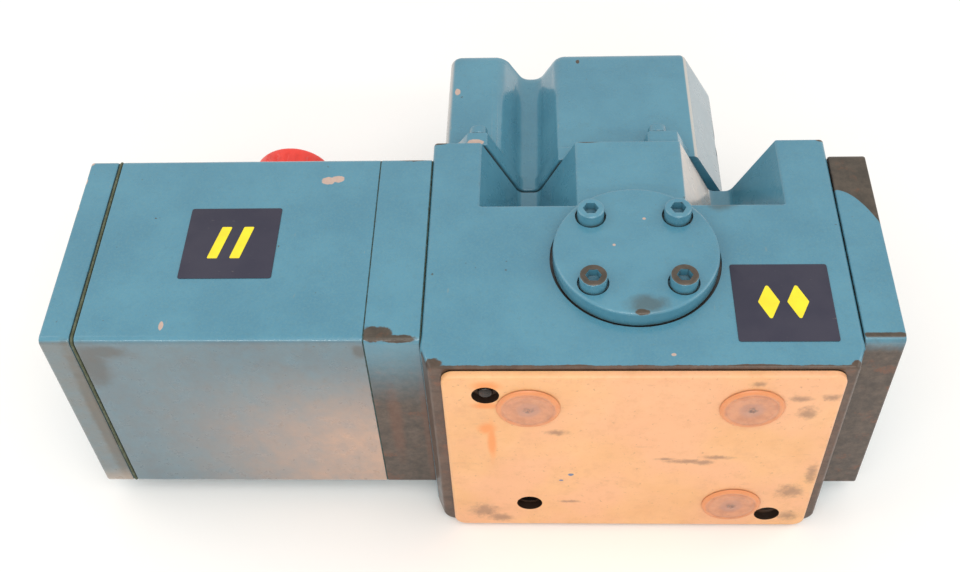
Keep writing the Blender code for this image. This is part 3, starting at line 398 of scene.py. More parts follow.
class Shading:
    """Builds one procedural material; lengths in it are in millimetres of the piece's own space."""

    def __init__(self, name):
        self.material = bpy.data.materials.new(name)
        self.material.use_nodes = True
        self.nodes = self.material.node_tree.nodes
        self.links = self.material.node_tree.links
        self.shader = self.nodes["Principled BSDF"]
        place = self.node("TexCoord", {}, "Object")
        self.point = self.node("VectorMath", {0: place, "Scale": 1000.0}, operation="SCALE")

    def node(self, kind, inputs, output=0, **settings):
        """One output of a new node; inputs are values or sockets, by name or place."""
        node = self.nodes.new(f"ShaderNode{kind}")
        for key, value in settings.items():
            setattr(node, key, value)
        for key, value in inputs.items():
            self.put(node.inputs[key], value)
        return node.outputs[output]

    def put(self, socket, value):
        if isinstance(value, bpy.types.NodeSocket):
            self.links.new(value, socket)
        elif isinstance(value, (tuple, list)) and socket.type == "RGBA":
            socket.default_value = (*value[:3], 1.0)
        else:
            socket.default_value = value

    def math(self, operation, a, b=0.0, c=0.0):
        return self.node("Math", {0: a, 1: b, 2: c}, operation=operation)

    def chain(self, operation, values):
        total = values[0]
        for value in values[1:]:
            total = self.math(operation, total, value)
        return total

    def times(self, *values):
        return self.chain("MULTIPLY", values)

    def most(self, *values):
        return self.chain("MAXIMUM", values)

    def plus(self, *values):
        return self.chain("ADD", values)

    def less(self, *values):
        return self.chain("SUBTRACT", values)

    def over(self, colour, tone, *strengths):
        """A tone laid over a colour, as strong as the strengths multiplied."""
        return self.mix(self.times(*strengths), colour, tone)

    def noise(self, size, detail=3.0, roughness=0.55, stretch=(1, 1, 1), shift=0.0):
        """Noise from 0 to 1 with features of about that size."""
        point = self.moved((shift, shift, shift), stretch)
        look = {"Vector": point, "Scale": 1.0 / size, "Detail": detail, "Roughness": roughness}
        return self.node("TexNoise", look)

    def moved(self, centre, sizes):
        """The point, counted from a centre and divided by a size along each axis."""
        off = self.node("VectorMath", {0: self.point, 1: centre}, operation="SUBTRACT")
        return self.node("VectorMath", {0: off, 1: sizes}, operation="DIVIDE")

    def cells(self, size):
        return self.node("TexVoronoi", {"Vector": self.point, "Scale": 1.0 / size}, "Distance")

    def step(self, value, low, high):
        """0 below low, 1 above high, smooth between; low may be above high."""
        ends = {"From Min": min(low, high), "From Max": max(low, high)}
        ends["To Min"], ends["To Max"] = (1.0, 0.0) if low > high else (0.0, 1.0)
        return self.node("MapRange", {"Value": value, **ends}, "Result", interpolation_type="SMOOTHSTEP")

    def mix(self, factor, a, b):
        return self.node("Mix", {0: factor, 6: a, 7: b}, 2, data_type="RGBA")

    def blend(self, factor, a, b):
        return self.node("Mix", {0: factor, 2: a, 3: b})

    def axis(self, name):
        return self.node("SeparateXYZ", {0: self.point}, name)

    def length(self, vector):
        return self.node("VectorMath", {0: vector}, "Value", operation="LENGTH")

    def dot(self, a, b):
        return self.node("VectorMath", {0: a, 1: b}, "Value", operation="DOT_PRODUCT")

    def facing(self, way):
        """How much the surface looks a way in the piece's own space, from -1 to 1."""
        return self.dot(self.node("TexCoord", {}, "Normal"), way)

    def edges(self, width):
        """1 on edges and corners, 0 on flats."""
        bevel = self.node("Bevel", {"Radius": width * MM}, samples=4)
        return self.step(self.dot(bevel, self.node("NewGeometry", {}, "Normal")), 0.995, 0.90)

    def crevices(self, reach):
        """1 deep in corners and gaps, 0 in the open."""
        open_share = self.node("AmbientOcclusion", {"Distance": reach * MM}, "AO", samples=4)
        return self.step(open_share, 0.75, 0.25)

    def spots(self, places, wobble, fray=0.12):
        """1 inside ragged blobs, each (centre, half sizes)."""
        total = 0.0
        for centre, sizes in places:
            ragged = self.plus(self.length(self.moved(centre, sizes)), wobble)
            blob = self.step(ragged, 1.0 + fray, 1.0 - fray)
            total = self.most(total, blob)
        return total

    def wobble(self, size, amount):
        """Noise about zero, for ragged edges."""
        return self.times(self.less(self.noise(size, 5.0, 0.65), 0.5), 2.0 * amount)

    def bump(self, height, strength, distance, under=None):
        inputs = {"Strength": strength, "Distance": distance * MM, "Height": height}
        if under is not None:
            inputs["Normal"] = under
        return self.node("Bump", inputs)

    def glow(self, weight, radius, scale):
        """Light that wanders under the surface."""
        for name, value in (("Weight", weight), ("Radius", radius), ("Scale", scale * MM)):
            self.put(self.shader.inputs[f"Subsurface {name}"], value)

    def done(self, colour, roughness, metallic=0.0, normal=None, specular=0.5):
        look = {"Base Color": colour, "Roughness": roughness, "Metallic": metallic}
        look["Specular IOR Level"] = specular
        if normal is not None:
            look["Normal"] = normal
        for name, value in look.items():
            self.put(self.shader.inputs[name], value)
        return self.material


TEAL_LIGHT = (0.073, 0.238, 0.328)
TEAL_DARK = (0.054, 0.197, 0.284)
METAL_DARK = (0.044, 0.031, 0.022)
METAL_LIGHT = (0.118, 0.083, 0.060)
RUST = (0.17, 0.062, 0.028)
GRIME_AND_SHADE = (0.045, 0.042, 0.026)
PRIMER = (0.56, 0.40, 0.32)
SHADE_BLACK = (0.014, 0.011, 0.009)


def paint(name, bare=(), pale=(), grime=(), rusty=(), bare_field=None, films=None, dark=None, edge_wear=0.5):
    """Teal machine enamel, chipped and grimy, with painted shade in its crevices.

    bare, pale, grime and rusty are blobs. films gives (strength, colour) layers of dust and of painted
    highlight and reflection, and dark the parts that are painted near black as shade.
    """
    m = Shading(name)
    ragged = m.wobble(4.0, 0.55)
    broad = m.noise(34.0, 4.0, 0.6)
    fine = m.noise(0.9, 2.0, 0.6)
    colour = m.mix(m.step(broad, 0.3, 0.7), TEAL_LIGHT, TEAL_DARK)
    colour = m.over(colour, (0.12, 0.27, 0.30), m.step(fine, 0.35, 0.8), 0.34)
    mottle = m.step(m.noise(2.6, 4.0, 0.7, shift=63.0), 0.50, 0.72)
    colour = m.over(colour, (0.062, 0.165, 0.205), mottle, 0.25)
    blotch = m.step(m.noise(11.0, 5.0, 0.7, shift=31.0), 0.60, 0.78)
    colour = m.over(colour, (0.075, 0.17, 0.19), blotch, 0.22)

    speck = m.step(m.noise(3.2, 3.0, 0.6, shift=90.0), 0.735, 0.76)
    colour = m.over(colour, GRIME_AND_SHADE, speck, 0.7)
    streak = m.step(m.noise(2.2, 2.0, 0.5, stretch=(1.0, 5.0, 1.0), shift=55.0), 0.74, 0.78)
    colour = m.over(colour, (0.20, 0.26, 0.24), streak, 0.35)

    # Painted shade: corners and gaps found by ambient occlusion are darkened, mixed with real grime blobs.
    crevice_shade_and_grime = m.times(m.crevices(2.6), m.step(m.noise(6.0, 4.0, shift=12.0), 0.25, 0.6))
    if grime:
        crevice_shade_and_grime = m.most(crevice_shade_and_grime, m.times(m.spots(grime, ragged, 0.5), 0.75))
    colour = m.over(colour, GRIME_AND_SHADE, crevice_shade_and_grime, 0.8)
    if films is not None:
        for strength, tone in films(m):
            colour = m.over(colour, tone, strength)

    edge = m.edges(0.9)
    worn = m.times(edge, m.step(m.noise(7.0, 5.0, 0.7, shift=3.0), 0.60 - edge_wear * 0.1, 0.70))
    chips = m.step(m.noise(4.6, 4.0, 0.62, shift=140.0), 0.775, 0.79)
    metal = m.most(worn, m.times(chips, 0.8))
    if bare:
        metal = m.most(metal, m.spots(bare, ragged))
    if bare_field is not None:
        metal = m.most(metal, bare_field(m, ragged))
    metal_tone = m.mix(m.step(m.noise(5.0, 6.0, 0.7, shift=8.0), 0.3, 0.75), METAL_DARK, METAL_LIGHT)
    metal_tone = m.mix(m.step(m.noise(9.0, 5.0, 0.7, shift=19.0), 0.56, 0.75), metal_tone, RUST)
    upward = m.step(m.facing((0, 0, 1)), 0.4, 0.9)
    metal_tone = m.mix(m.times(upward, 0.35), metal_tone, GRIME_AND_SHADE)
    if rusty:
        metal_tone = m.mix(m.times(m.spots(rusty, ragged, 0.6), 0.42), metal_tone, RUST)
    colour = m.over(colour, metal_tone, metal)
    if pale:
        primer = m.spots(pale, m.wobble(1.6, 0.35))
        colour = m.over(colour, m.mix(m.noise(1.4, 3.0), PRIMER, (0.40, 0.29, 0.25)), primer)
    if dark is not None:
        # Painted shade: the dark parts are laid over in near black, and their bare metal is taken away.
        soot = dark(m)
        colour = m.over(colour, SHADE_BLACK, soot)
        metal = m.times(metal, m.less(1.0, soot))

    roughness = m.blend(m.noise(8.0, 4.0, shift=70.0), 0.20, 0.38)
    roughness = m.blend(crevice_shade_and_grime, roughness, 0.75)
    roughness = m.blend(metal, roughness, m.blend(m.noise(3.0, 4.0), 0.42, 0.72))
    cast = m.bump(m.noise(7.0, 3.0, 0.5, shift=2.0), 0.16, 0.9)
    peel = m.bump(m.noise(1.1, 2.0, 0.5, shift=6.0), 0.12, 0.3, cast)
    depth = m.bump(m.less(1.0, metal), 0.5, 0.22, peel)
    m.shader.inputs["Coat Weight"].default_value = 0.5
    m.shader.inputs["Coat Roughness"].default_value = 0.12
    return m.done(colour, roughness, m.times(metal, 0.35), depth)


def steel(name, tone, dark, roughness=0.35, metallic=0.9, grime=0.35):
    """Machined or blackened steel with stains."""
    m = Shading(name)
    colour = m.mix(m.step(m.noise(3.0, 5.0, 0.65), 0.35, 0.75), tone, dark)
    stain = m.step(m.noise(5.0, 5.0, 0.7, shift=21.0), 0.5, 0.8)
    colour = m.over(colour, RUST, stain, grime)
    rough = m.blend(m.noise(1.6, 4.0, shift=3.0), roughness * 0.8, roughness * 1.4)
    bump = m.bump(m.noise(0.5, 3.0, 0.6), 0.15, 0.2)
    return m.done(colour, rough, metallic, bump)


def rubber(name, tone, light):
    m = Shading(name)
    colour = m.mix(m.step(m.noise(2.5, 5.0, 0.7), 0.4, 0.75), tone, light)
    bump = m.bump(m.noise(0.8, 4.0, 0.6), 0.4, 0.3)
    return m.done(colour, m.blend(m.noise(3.0, 3.0), 0.55, 0.85), 0.0, bump, 0.35)


def winding(name):
    """Varnished copper wire, wound round the X axis."""
    m = Shading(name)
    wave = m.node("TexWave", {"Vector": m.point, "Scale": 0.6}, "Fac")
    colour = m.mix(wave, (0.22, 0.07, 0.025), (0.55, 0.23, 0.10))
    return m.done(colour, 0.38, 0.6, m.bump(wave, 0.5, 0.3))


def sintered(name):
    m = Shading(name)
    grain = m.cells(0.9)
    colour = m.mix(m.step(grain, 0.1, 0.7), (0.55, 0.38, 0.18), (0.16, 0.10, 0.05))
    return m.done(colour, 0.6, 0.8, m.bump(grain, 0.7, 0.3))


def circuit(name):
    m = Shading(name)
    colour = m.mix(m.step(m.noise(3.0, 2.0), 0.45, 0.55), (0.015, 0.10, 0.04), (0.03, 0.19, 0.08))
    return m.done(colour, 0.35, 0.0, m.bump(m.noise(1.5, 2.0), 0.2, 0.2))


def moulded(name, tone, shade, roughness=0.35, glow=0.0):
    """Moulded plastic; glow is how far light wanders under its surface."""
    m = Shading(name)
    colour = m.mix(m.step(m.noise(6.0, 5.0, 0.6), 0.3, 0.75), tone, shade)
    scuff = m.step(m.noise(2.0, 4.0, 0.7, shift=40.0), 0.62, 0.8)
    rough = m.blend(scuff, roughness, roughness + 0.25)
    if glow:
        m.glow(glow, (1.0, 0.45, 0.25), 2.5)
    bump = m.bump(m.noise(1.4, 3.0, 0.6), 0.15, 0.2)
    return m.done(colour, rough, 0.0, bump)


# ---------------------------------------------------------------- main body

def bolt_points():
    return four(*BOLT_OFFSET, (BODY_X, BOLT_MID_Z))


def pocket_half(z):
    """Half the width of a bolt pocket at a height."""
    return POCKET_BOTTOM + (z - (BODY_TOP - POCKET_DEPTH)) * POCKET_SLOPE


def flip(outline):
    """The same outline, mirrored about the body's middle height."""
    return [(u, BODY_TOP - v) for u, v in outline]


def pocket_outline(centre_x):
    top = BODY_TOP + 1.0
    bottom = BODY_TOP - POCKET_DEPTH
    wide = pocket_half(top)
    corners = [
        (centre_x - wide, top, 0),
        (centre_x - POCKET_BOTTOM, bottom, POCKET_CORNER),
        (centre_x + POCKET_BOTTOM, bottom, POCKET_CORNER),
        (centre_x + wide, top, 0),
    ]
    return rounded(corners)


def body_section(inset, foot):
    top = 2.0
    length = BODY_HIGH.x - BODY_LOW.x
    return rectangle((BODY_X, BORE_Z), length - 2 * inset, BODY_TOP, (foot, foot, top, top))


def make_body():
    sections = (
        (MOUNT_FACE, body_section(TAPER_WIDTH, 6.0)),
        (MOUNT_FACE + TAPER_DEPTH, body_section(0, 3.0)),
        (PARTING, body_section(0, 3.0)),
    )
    body = loft("body_casting", "Y", sections)
    pockets = []
    for centre in (BODY_X - BOLT_OFFSET[0], BODY_X + BOLT_OFFSET[0]):
        outline = pocket_outline(centre)
        for shape in (outline, flip(outline)):
            pockets.append(prism("cutter", "Y", PARTING - POCKET_LENGTH, PARTING + 1, shape))
    soften(carve(body, pockets), 0.75)
    bore = 16.0
    cutters = [rod("X", (SIDE.y, BORE_Z), bore, BODY_LOW.x - 1, BODY_HIGH.x + 1)]
    cutters += mount_face_cutters()
    cutters += cover_seat_cutters()
    for point in ear_points():
        cutters.append(rod("Y", point, EAR_SCREW_HOLE, PARTING - 13, PARTING + 1, 24))
    return finish_casting(carve(body, cutters))


def mount_face_cutters():
    face = MOUNT_FACE - 1
    pocket_floor = PARTING - POCKET_LENGTH
    cutters = [rod("Y", point, BOLT_HOLE, face, pocket_floor + 1) for point in bolt_points()]
    recess, recess_depth, hole = 10.5, 1.5, 7.0
    for du, dv in ((-1, 0), (1, 0), (0, -1), (0, 1)):
        point = (BODY_X + du * PORT_CIRCLE, BOLT_MID_Z + dv * PORT_CIRCLE)
        cutters.append(stepped("Y", point, hole, recess, SIDE.y, MOUNT_FACE + recess_depth, face))
    for point in plate_points():
        cutters.append(rod("Y", point, 3.3, face, MOUNT_FACE + 12, 32))
    groove = (MOUNT_FACE - 1, MOUNT_FACE + 0.6)
    outer, inner = plate_outline(0.2), plate_outline(-1.0)
    rings = ((groove[0], inner), (groove[0], outer), (groove[1], outer), (groove[1], inner))
    cutters.append(loft("cutter", "Y", rings, True))
    return cutters


def plate_points():
    """Where the shipping plate shows the locating pin and the blind hole."""
    return [(BODY_X + side * PLATE_HOLES[0], BOLT_MID_Z - side * PLATE_HOLES[1]) for side in (-1, 1)]


def plate_outline(grow):
    low, high = extent("shipping_plate")
    width, height = high.x - low.x + 2 * grow, high.z - low.z + 2 * grow
    return rectangle((PLATE.x, PLATE.z), width, height, (5.0 + grow,) * 4)


def cover_seat_cutters():
    top = BODY_TOP + 1
    seat = BODY_TOP - COVER_SEAT
    centre = (COVER.x, COVER.y)
    radius = cover_radius() + 1.2
    cutters = [stepped("Z", centre, 15.5, radius, seat - 8, seat, top, 128)]
    for point in cover_points():
        cutters.append(rod("Z", point, 3.6, BODY_TOP - 17, top, 32))
    return cutters


def cover_radius():
    low, high = extent("filter_cover")
    return (high.x - low.x) / 2


def cover_points():
    return four(COVER_PATTERN, COVER_PATTERN, (COVER.x, COVER.y))


def ear_points():
    high = EAR_TOP - EAR_SCREW
    return [(x, z) for x in EAR_X for z in (high, BODY_TOP - high)]


# ---------------------------------------------------------------- the blocks at both ends

def block_outline(width, height, corner):
    return rectangle((SIDE.y, SIDE.z), width, height, (corner,) * 4)


def block(name, node):
    """A rounded block that fills its CAD node's box along X."""
    low, high = extent(node)
    outline = block_outline(high.y - low.y, high.z - low.z, BLOCK_CORNER)
    return prism(name, "X", low.x, high.x, outline)


def head_spots(stem, axis):
    """For each of a stem's four screw nodes: its centre across the axis, and its CAD box."""
    found = []
    for i in (1, 2, 3, 4):
        centre = middle(f"{stem}_{i}")
        across = {"X": (centre.y, centre.z), "Y": (centre.x, centre.z), "Z": (centre.x, centre.y)}[axis]
        found.append((across, extent(f"{stem}_{i}")))
    return found


def make_end_plate():
    plate = soften(block("end_plate_casting", "end_plate"), 0.8)
    low, high = extent("end_plate")
    recess = rod("X", (SIDE.y, BORE_Z), 13.0, low.x - 1, BODY_HIGH.x + 8)
    cutters = [recess]
    for point, _ in head_spots("end_plate_screw", "X"):
        cutters.append(stepped("X", point, SCREW_HOLE, 7.1, low.x - 1, high.x - 8.5, high.x + 1))
    return finish_casting(carve(plate, cutters))


def make_adapter():
    plate = soften(block("adapter_casting", "adapter_plate"), 0.45)
    low, high = extent("adapter_plate")
    cutters = [stepped("X", (SIDE.y, BORE_Z), SENSOR_BORE, 13.0, low.x - 1, BODY_LOW.x - 11.3, high.x + 1)]
    for point, _ in head_spots("housing_screw", "X"):
        cutters.append(rod("X", point, SCREW_HOLE, low.x - 1, high.x + 1, 24))
    return finish_casting(carve(plate, cutters))


def cavity(low, high, shrink):
    """The housing's hollow: a rectangle with a square column left in each corner."""
    wall, column = 4.0, 13.0
    box_low, box_high = extent("electronics_housing")
    half_y, half_z = (box_high.y - box_low.y) / 2, (box_high.z - box_low.z) / 2
    wide_y, wide_z = half_y - wall - shrink, half_z - wall - shrink
    step_y, step_z = half_y - column - shrink, half_z - column - shrink
    notch = ((wide_y, step_z), (step_y, step_z), (step_y, wide_z))
    points = list(notch)
    points += [(-y, z) for y, z in reversed(notch)]
    points += [(-y, -z) for y, z in notch]
    points += [(y, -z) for y, z in reversed(notch)]
    return prism("cutter", "X", low, high, [(SIDE.y + y, SIDE.z + z) for y, z in points])


def make_housing():
    housing = soften(block("housing_casting", "electronics_housing"), 0.45)
    low, high = extent("electronics_housing")
    floor = 6.0
    cutters = [cavity(low.x - 1, high.x - floor, 0)]
    cutters.append(rod("X", (SIDE.y, BORE_Z), SENSOR_BORE, low.x, high.x + 1))
    cutters.append(rod("Y", (CAP.x, CAP.z), 13.0, high.y - 6, high.y + 1))
    for point, _ in head_spots("housing_screw", "X"):
        cutters.append(rod("X", point, SCREW_HOLE, high.x - 20, high.x + 1, 24))
    for point, _ in head_spots("end_cover_screw", "X"):
        cutters.append(rod("X", point, LID_SCREW_HOLE, low.x - 1, low.x + 18, 24))
    return finish_casting(carve(housing, cutters))


def make_end_cover():
    cover = soften(block("end_cover_casting", "end_cover"), 0.9)
    low, high = extent("end_cover")
    cutters = [cavity(high.x - 5.0, high.x + 1, 1.0)]
    for point, _ in head_spots("end_cover_screw", "X"):
        cutters.append(stepped("X", point, LID_SCREW_HOLE, 4.75, high.x + 1, low.x + 5.5, low.x - 1))
    return finish_casting(carve(cover, cutters))


def resample(outline, step):
    """Points about a step apart along an outline."""
    points = []
    for (u0, v0), (u1, v1) in zip(outline, outline[1:] + outline[:1]):
        count = max(1, round(math.hypot(u1 - u0, v1 - v0) / step))
        points += [(u0 + (u1 - u0) * i / count, v0 + (v1 - v0) * i / count) for i in range(count)]
    return points


def make_gasket():
    """The gasket's squeezed bead, uneven along the joint."""
    low, high = extent("end_cover_gasket")
    half_y, half_z = (high.y - low.y) / 2, (high.z - low.z) / 2
    outline = resample(block_outline(2 * half_y - 0.4, 2 * half_z - 0.4, 3.0), 2.2)
    dice = random.Random(SEED)
    waves = [(dice.uniform(0.1, 0.9), dice.uniform(0, 6.3), dice.uniform(0.03, 0.07)) for _ in range(6)]
    inner = shrunk(outline, (SIDE.y, SIDE.z), 0.90)
    rings = []
    thickness = high.x - low.x
    for share, reach in ((0.0, -0.5), (0.15, 0.0), (0.5, 0.2), (0.85, 0.0), (1.0, -0.5)):
        ring = []
        for i, (u, v) in enumerate(outline):
            uneven = sum(size * math.sin(rate * i + start) for rate, start, size in waves)
            out_u, out_v = unit(u - SIDE.y, v - SIDE.z)
            grow = min(reach + uneven - 0.15, 0.2)
            ring.append((u + out_u * grow, v + out_v * grow))
        rings.append((low.x + thickness * share, ring))
    rings += [(high.x, inner), (low.x, inner)]
    return loft("gasket_bead", "X", rings, True)


def make_seam(name, low_x, high_x, sunk):
    """Paint and grime that fill the gap between two blocks, a little below their surface."""
    low, high = extent("adapter_plate")
    width, height = high.y - low.y, high.z - low.z
    outer, inner = [block_outline(width - 2 * inset, height - 2 * inset, 2.4) for inset in (sunk, 4.0)]
    return loft(name, "X", ((low_x, inner), (low_x, outer), (high_x, outer), (high_x, inner)), True)


# ---------------------------------------------------------------- cap screws

def cap_screw(name, axis, across, box, direction, head, hex_radius, segments=72):
    """A knurled socket head screw; head is (radius, height), direction points at the head."""
    radius, height = head
    low, high = box
    index = "XYZ".index(axis)
    top = high[index] if direction > 0 else low[index]
    tip = low[index] if direction > 0 else high[index]
    seat = top - direction * height
    shank = radius * 0.6
    knurled = fluted(across, radius, segments, 0.13, 2, (1,))
    socket = hexagon(across, hex_radius, segments)
    profile = [(tip, 0), (tip, shank - 0.5), (tip + direction * 0.5, shank), (seat, shank)]
    profile += [(seat, radius - 0.4), (seat + direction * 0.4, radius - 0.05)]
    profile += [(seat + direction * height * share, knurled) for share in (0.12, 0.80)]
    profile += [(top - direction * 0.55, radius - 0.12), (top - direction * 0.18, radius - 0.45)]
    profile += [(top, radius - 0.85), (top, hex_radius + 0.25), (top - direction * 0.25, socket)]
    profile += [(top - direction * height * 0.55, socket), (top - direction * height * 0.68, 0)]
    return crease(turned(name, axis, across, profile, segments), 38.0)


def hexagon(centre, radius, segments):
    """Points round a hexagon, as many as the segments."""
    points = []
    for i in range(segments):
        angle = 2 * math.pi * i / segments
        off = angle % (math.pi / 3) - math.pi / 6
        reach = radius * math.cos(math.pi / 6) / math.cos(off)
        points.append((centre[0] + reach * math.cos(angle), centre[1] + reach * math.sin(angle)))
    return points


# ---------------------------------------------------------------- filter cover

def make_filter_cover():
    low, high = extent("filter_cover")
    radius = cover_radius()
    centre = (COVER.x, COVER.y)
    profile = [(low.z, 0), (low.z, radius - 0.4), (low.z + 0.4, radius)]
    profile += round_over(high.z, 1, radius, 1.2, 4) + [(high.z, 0)]
    cover = turned("round_cover", "Z", centre, profile, 128)
    seat = high.z - 2.5
    cutters = [stepped("Z", point, 3.6, 6.3, low.z - 1, seat, high.z + 1, 60) for point in cover_points()]
    return finish_casting(carve(cover, cutters))


# ---------------------------------------------------------------- pilot housing

def pilot_outline(rise, lips):
    """The pilot housing's section; lips are the radii of its groove's left lip, right lip and floor."""
    left = extent("pilot_housing")[0].x
    left_lip, right_lip, floor = lips
    groove = BODY_X - BOLT_OFFSET[0]
    wide = pocket_half(PILOT_TOP)
    bottom = BODY_TOP - POCKET_DEPTH + rise
    upper = [
        (left + PILOT_LEFT_DRAFT, PILOT_TOP, 4.0),
        (groove - wide, PILOT_TOP, left_lip),
        (groove - POCKET_BOTTOM, bottom, floor),
        (groove + POCKET_BOTTOM, bottom, floor),
        (groove + wide, PILOT_TOP, right_lip),
        (*PILOT_SLOPE[0], 2.5),
        (*PILOT_SLOPE[1], 6.0),
    ]
    lower = [(u, BODY_TOP - v, radius) for u, v, radius in reversed(upper)]
    return rounded([(left, BORE_Z, 0)] + upper + lower)


def flange_outline():
    groove = BODY_X - BOLT_OFFSET[0]
    slope = BODY_X + BOLT_OFFSET[0] - 1.5
    flat = PILOT_TOP + 2.0
    screw_z = EAR_TOP - EAR_SCREW
    bottom = BODY_TOP - POCKET_DEPTH
    narrow = POCKET_BOTTOM - 1.0
    upper = [
        (FLANGE_LEFT, flat - 2.0, 1.5),
        (EAR_X[0] - 8.0, screw_z - 1.0, 1.5),
        (EAR_X[0] - 4.4, EAR_TOP, 2.0),
        (groove - pocket_half(EAR_TOP) + 1.0, EAR_TOP, 1.2),
        (groove - narrow, bottom, 3.0),
        (groove + narrow, bottom, 3.0),
        (groove + pocket_half(flat) - 1.0, flat, 1.5),
        (EAR_X[1] - 7.0, flat, 1.5),
        (EAR_X[1] - 4.6, EAR_TOP, 2.0),
        (slope - pocket_half(EAR_TOP), EAR_TOP, 1.5),
        (slope - pocket_half(84.0), 84.0, 3.0),
    ]
    lower = [(u, BODY_TOP - v, radius) for u, v, radius in reversed(upper)]
    return rounded(upper + lower, 6)


def make_pilot_housing():
    low, high = extent("pilot_housing")
    outline = pilot_outline(PILOT_RISE, PILOT_BACK_LIPS)
    back = high.y - PILOT_BACK_ROUND
    rings = [(low.y + 3, pilot_outline(0, PILOT_FRONT_LIPS))]
    for sine, cosine in quarter(6):
        share = 0.992 - 0.042 * (1 - cosine)
        rings.append((back + PILOT_BACK_ROUND * sine, shrunk(outline, (PILOT_CENTRE, BORE_Z), share)))
    housing = loft("pilot_casting", "Y", rings)
    flange = soften(prism("flange", "Y", low.y, low.y + FLANGE_DEPTH, flange_outline()), 0.8, 3, 60.0)
    combine(housing, [flange], "UNION")
    axis = (middle("pilot_spool").y, BORE_Z)
    seat = low.y + FLANGE_DEPTH
    bore = (
        (-30, 0), (-30, 9.0), (-2, 9.0), (-2, 6.3), (47, 6.3), (47, PILOT_BORE), (120, PILOT_BORE), (120, 0),
    )
    cutters = [turned("cutter", "X", axis, bore, 96)]
    for point in ear_points():
        cutters.append(stepped("Y", point, EAR_SCREW_HOLE, 4.7, low.y - 1, seat, seat + 9))
    return finish_casting(carve(housing, cutters))


def make_pilot_plug():
    low, high = extent("pilot_end_plug")
    centre = (middle("pilot_end_plug").y, BORE_Z)
    radius = (high.z - low.z) / 2
    socket = hexagon(centre, 3.6, 72)
    profile = (
        (high.x, 0), (high.x, radius), (low.x + 0.6, radius), (low.x, radius - 0.6), (low.x, 3.9),
        (low.x + 0.3, socket), (low.x + 3.5, socket), (low.x + 4.1, 0),
    )
    return crease(turned("pilot_plug", "X", centre, profile, 72), 38.0)


def make_pilot_cap():
    """The coil's end cap, with a raised boss and two spanner holes."""
    low, high = extent("pilot_end_cap")
    centre = (middle("pilot_end_cap").y, BORE_Z)
    radius = (high.z - low.z) / 2
    face = high.x - 1.2
    profile = (
        (low.x, 0), (low.x, 8.5), (98.5, 8.5), (98.5, radius), (face - 1.0, radius), (face, radius - 1.0),
        (face, 10.0), (high.x, 9.0), (high.x, 0),
    )
    cap = turned("coil_cap", "X", centre, profile, 96)
    holes = [rod("X", (centre[0] + side * 14.0, BORE_Z), 1.8, face - 4, high.x + 1, 24) for side in (-1, 1)]
    carve(cap, holes)
    return soften(cap, 0.3, 2, 40.0)


# ---------------------------------------------------------------- connector and its cap

def make_receptacle():
    low, high = extent("receptacle")
    centre = (CAP.x, CAP.z)
    wall = extent("electronics_housing")[1].y
    outer, inner = 14.5, 12.5
    profile = [(low.y, 0), (low.y, inner), (wall + 2, inner), (wall + 2, outer)]
    threads = 6
    for turn in range(threads):
        along = high.y - 1.6 - turn * 1.5
        profile[4:4] = [(along - 0.75, outer - 0.45), (along, outer)]
    profile += [(high.y - 0.6, outer - 0.45), (high.y, outer - 1.0), (high.y, inner)]
    profile += [(wall + 12.0, inner), (wall + 12.0, 0)]
    shell = turned("connector_shell", "Y", centre, profile, 96)
    outline = rectangle(centre, 34.0, 34.0, (3.0,) * 4)
    combine(shell, [prism("flange", "Y", wall + 0.3, wall + CONNECTOR_FLANGE, outline)], "UNION")
    return soften(shell, 0.25, 2, 40.0)


def studs(name, centres, foot, profile, segments):
    """Equal turned pieces along Y, joined in one mesh; the profile's last ring closes to a point."""
    mesh = bmesh.new()
    for centre in centres:
        rings = []
        for along, radius in profile:
            points = circle(centre, radius, segments)
            rings.append([mesh.verts.new(place("Y", foot + along, p)) for p in points])
        for first, second in zip(rings, rings[1:]):
            bridge(mesh, first, second)
        mesh.faces.new(rings[0])
    return settle(name, mesh)


def make_contacts():
    """Seven contacts on the connector's floor."""
    centre = (CAP.x, CAP.z)
    profile = ((12.0, 1.2), (13.0, 0.9), (20.0, 0.9), (20.7, 0.5), (20.9, 0.0))
    wall = extent("electronics_housing")[1].y
    return studs("connector_contacts", [centre] + circle(centre, 6.5, 6), wall, profile, 20)


def make_flange_screws():
    """Four pan-head screws on the connector's flange."""
    profile = ((0.0, 1.9), (0.8, 1.9), (1.3, 1.5), (1.5, 0.8), (1.1, 0.7), (1.1, 0.0))
    wall = extent("electronics_housing")[1].y + CONNECTOR_FLANGE
    return studs("connector_flange_screws", four(13.4, 13.4, (CAP.x, CAP.z)), wall, profile, 24)


def make_dust_cap():
    """The red cap: a domed end, a rounded rim and a ribbed skirt."""
    low, high = extent("dust_cap")
    centre = (CAP.x, CAP.z)
    radius = (high.x - low.x) / 2
    segments = 144
    inner = 15.0
    rim = 2.4
    grip = fluted(centre, radius, segments, 0.03 * radius, 6, (0, 1))
    profile = [(high.y - 0.25, 0), (high.y - 0.25, radius - 7), (high.y, radius - 4)]
    profile += [(high.y - rim + rim * cosine, radius - rim + rim * sine) for sine, cosine in quarter(5)]
    profile += [(high.y - 5.0, radius), (high.y - 5.6, grip), (low.y + 3.0, grip), (low.y + 2.4, radius)]
    profile += [(low.y + 0.4, radius), (low.y, radius - 0.5), (low.y, inner + 0.4), (low.y + 0.4, inner)]
    profile += [(high.y - CAP_WALL, inner), (high.y - CAP_WALL, 0)]
    return crease(turned("red_cap", "Y", centre, profile, segments), 60.0)


# ---------------------------------------------------------------- shipping plate and plugs

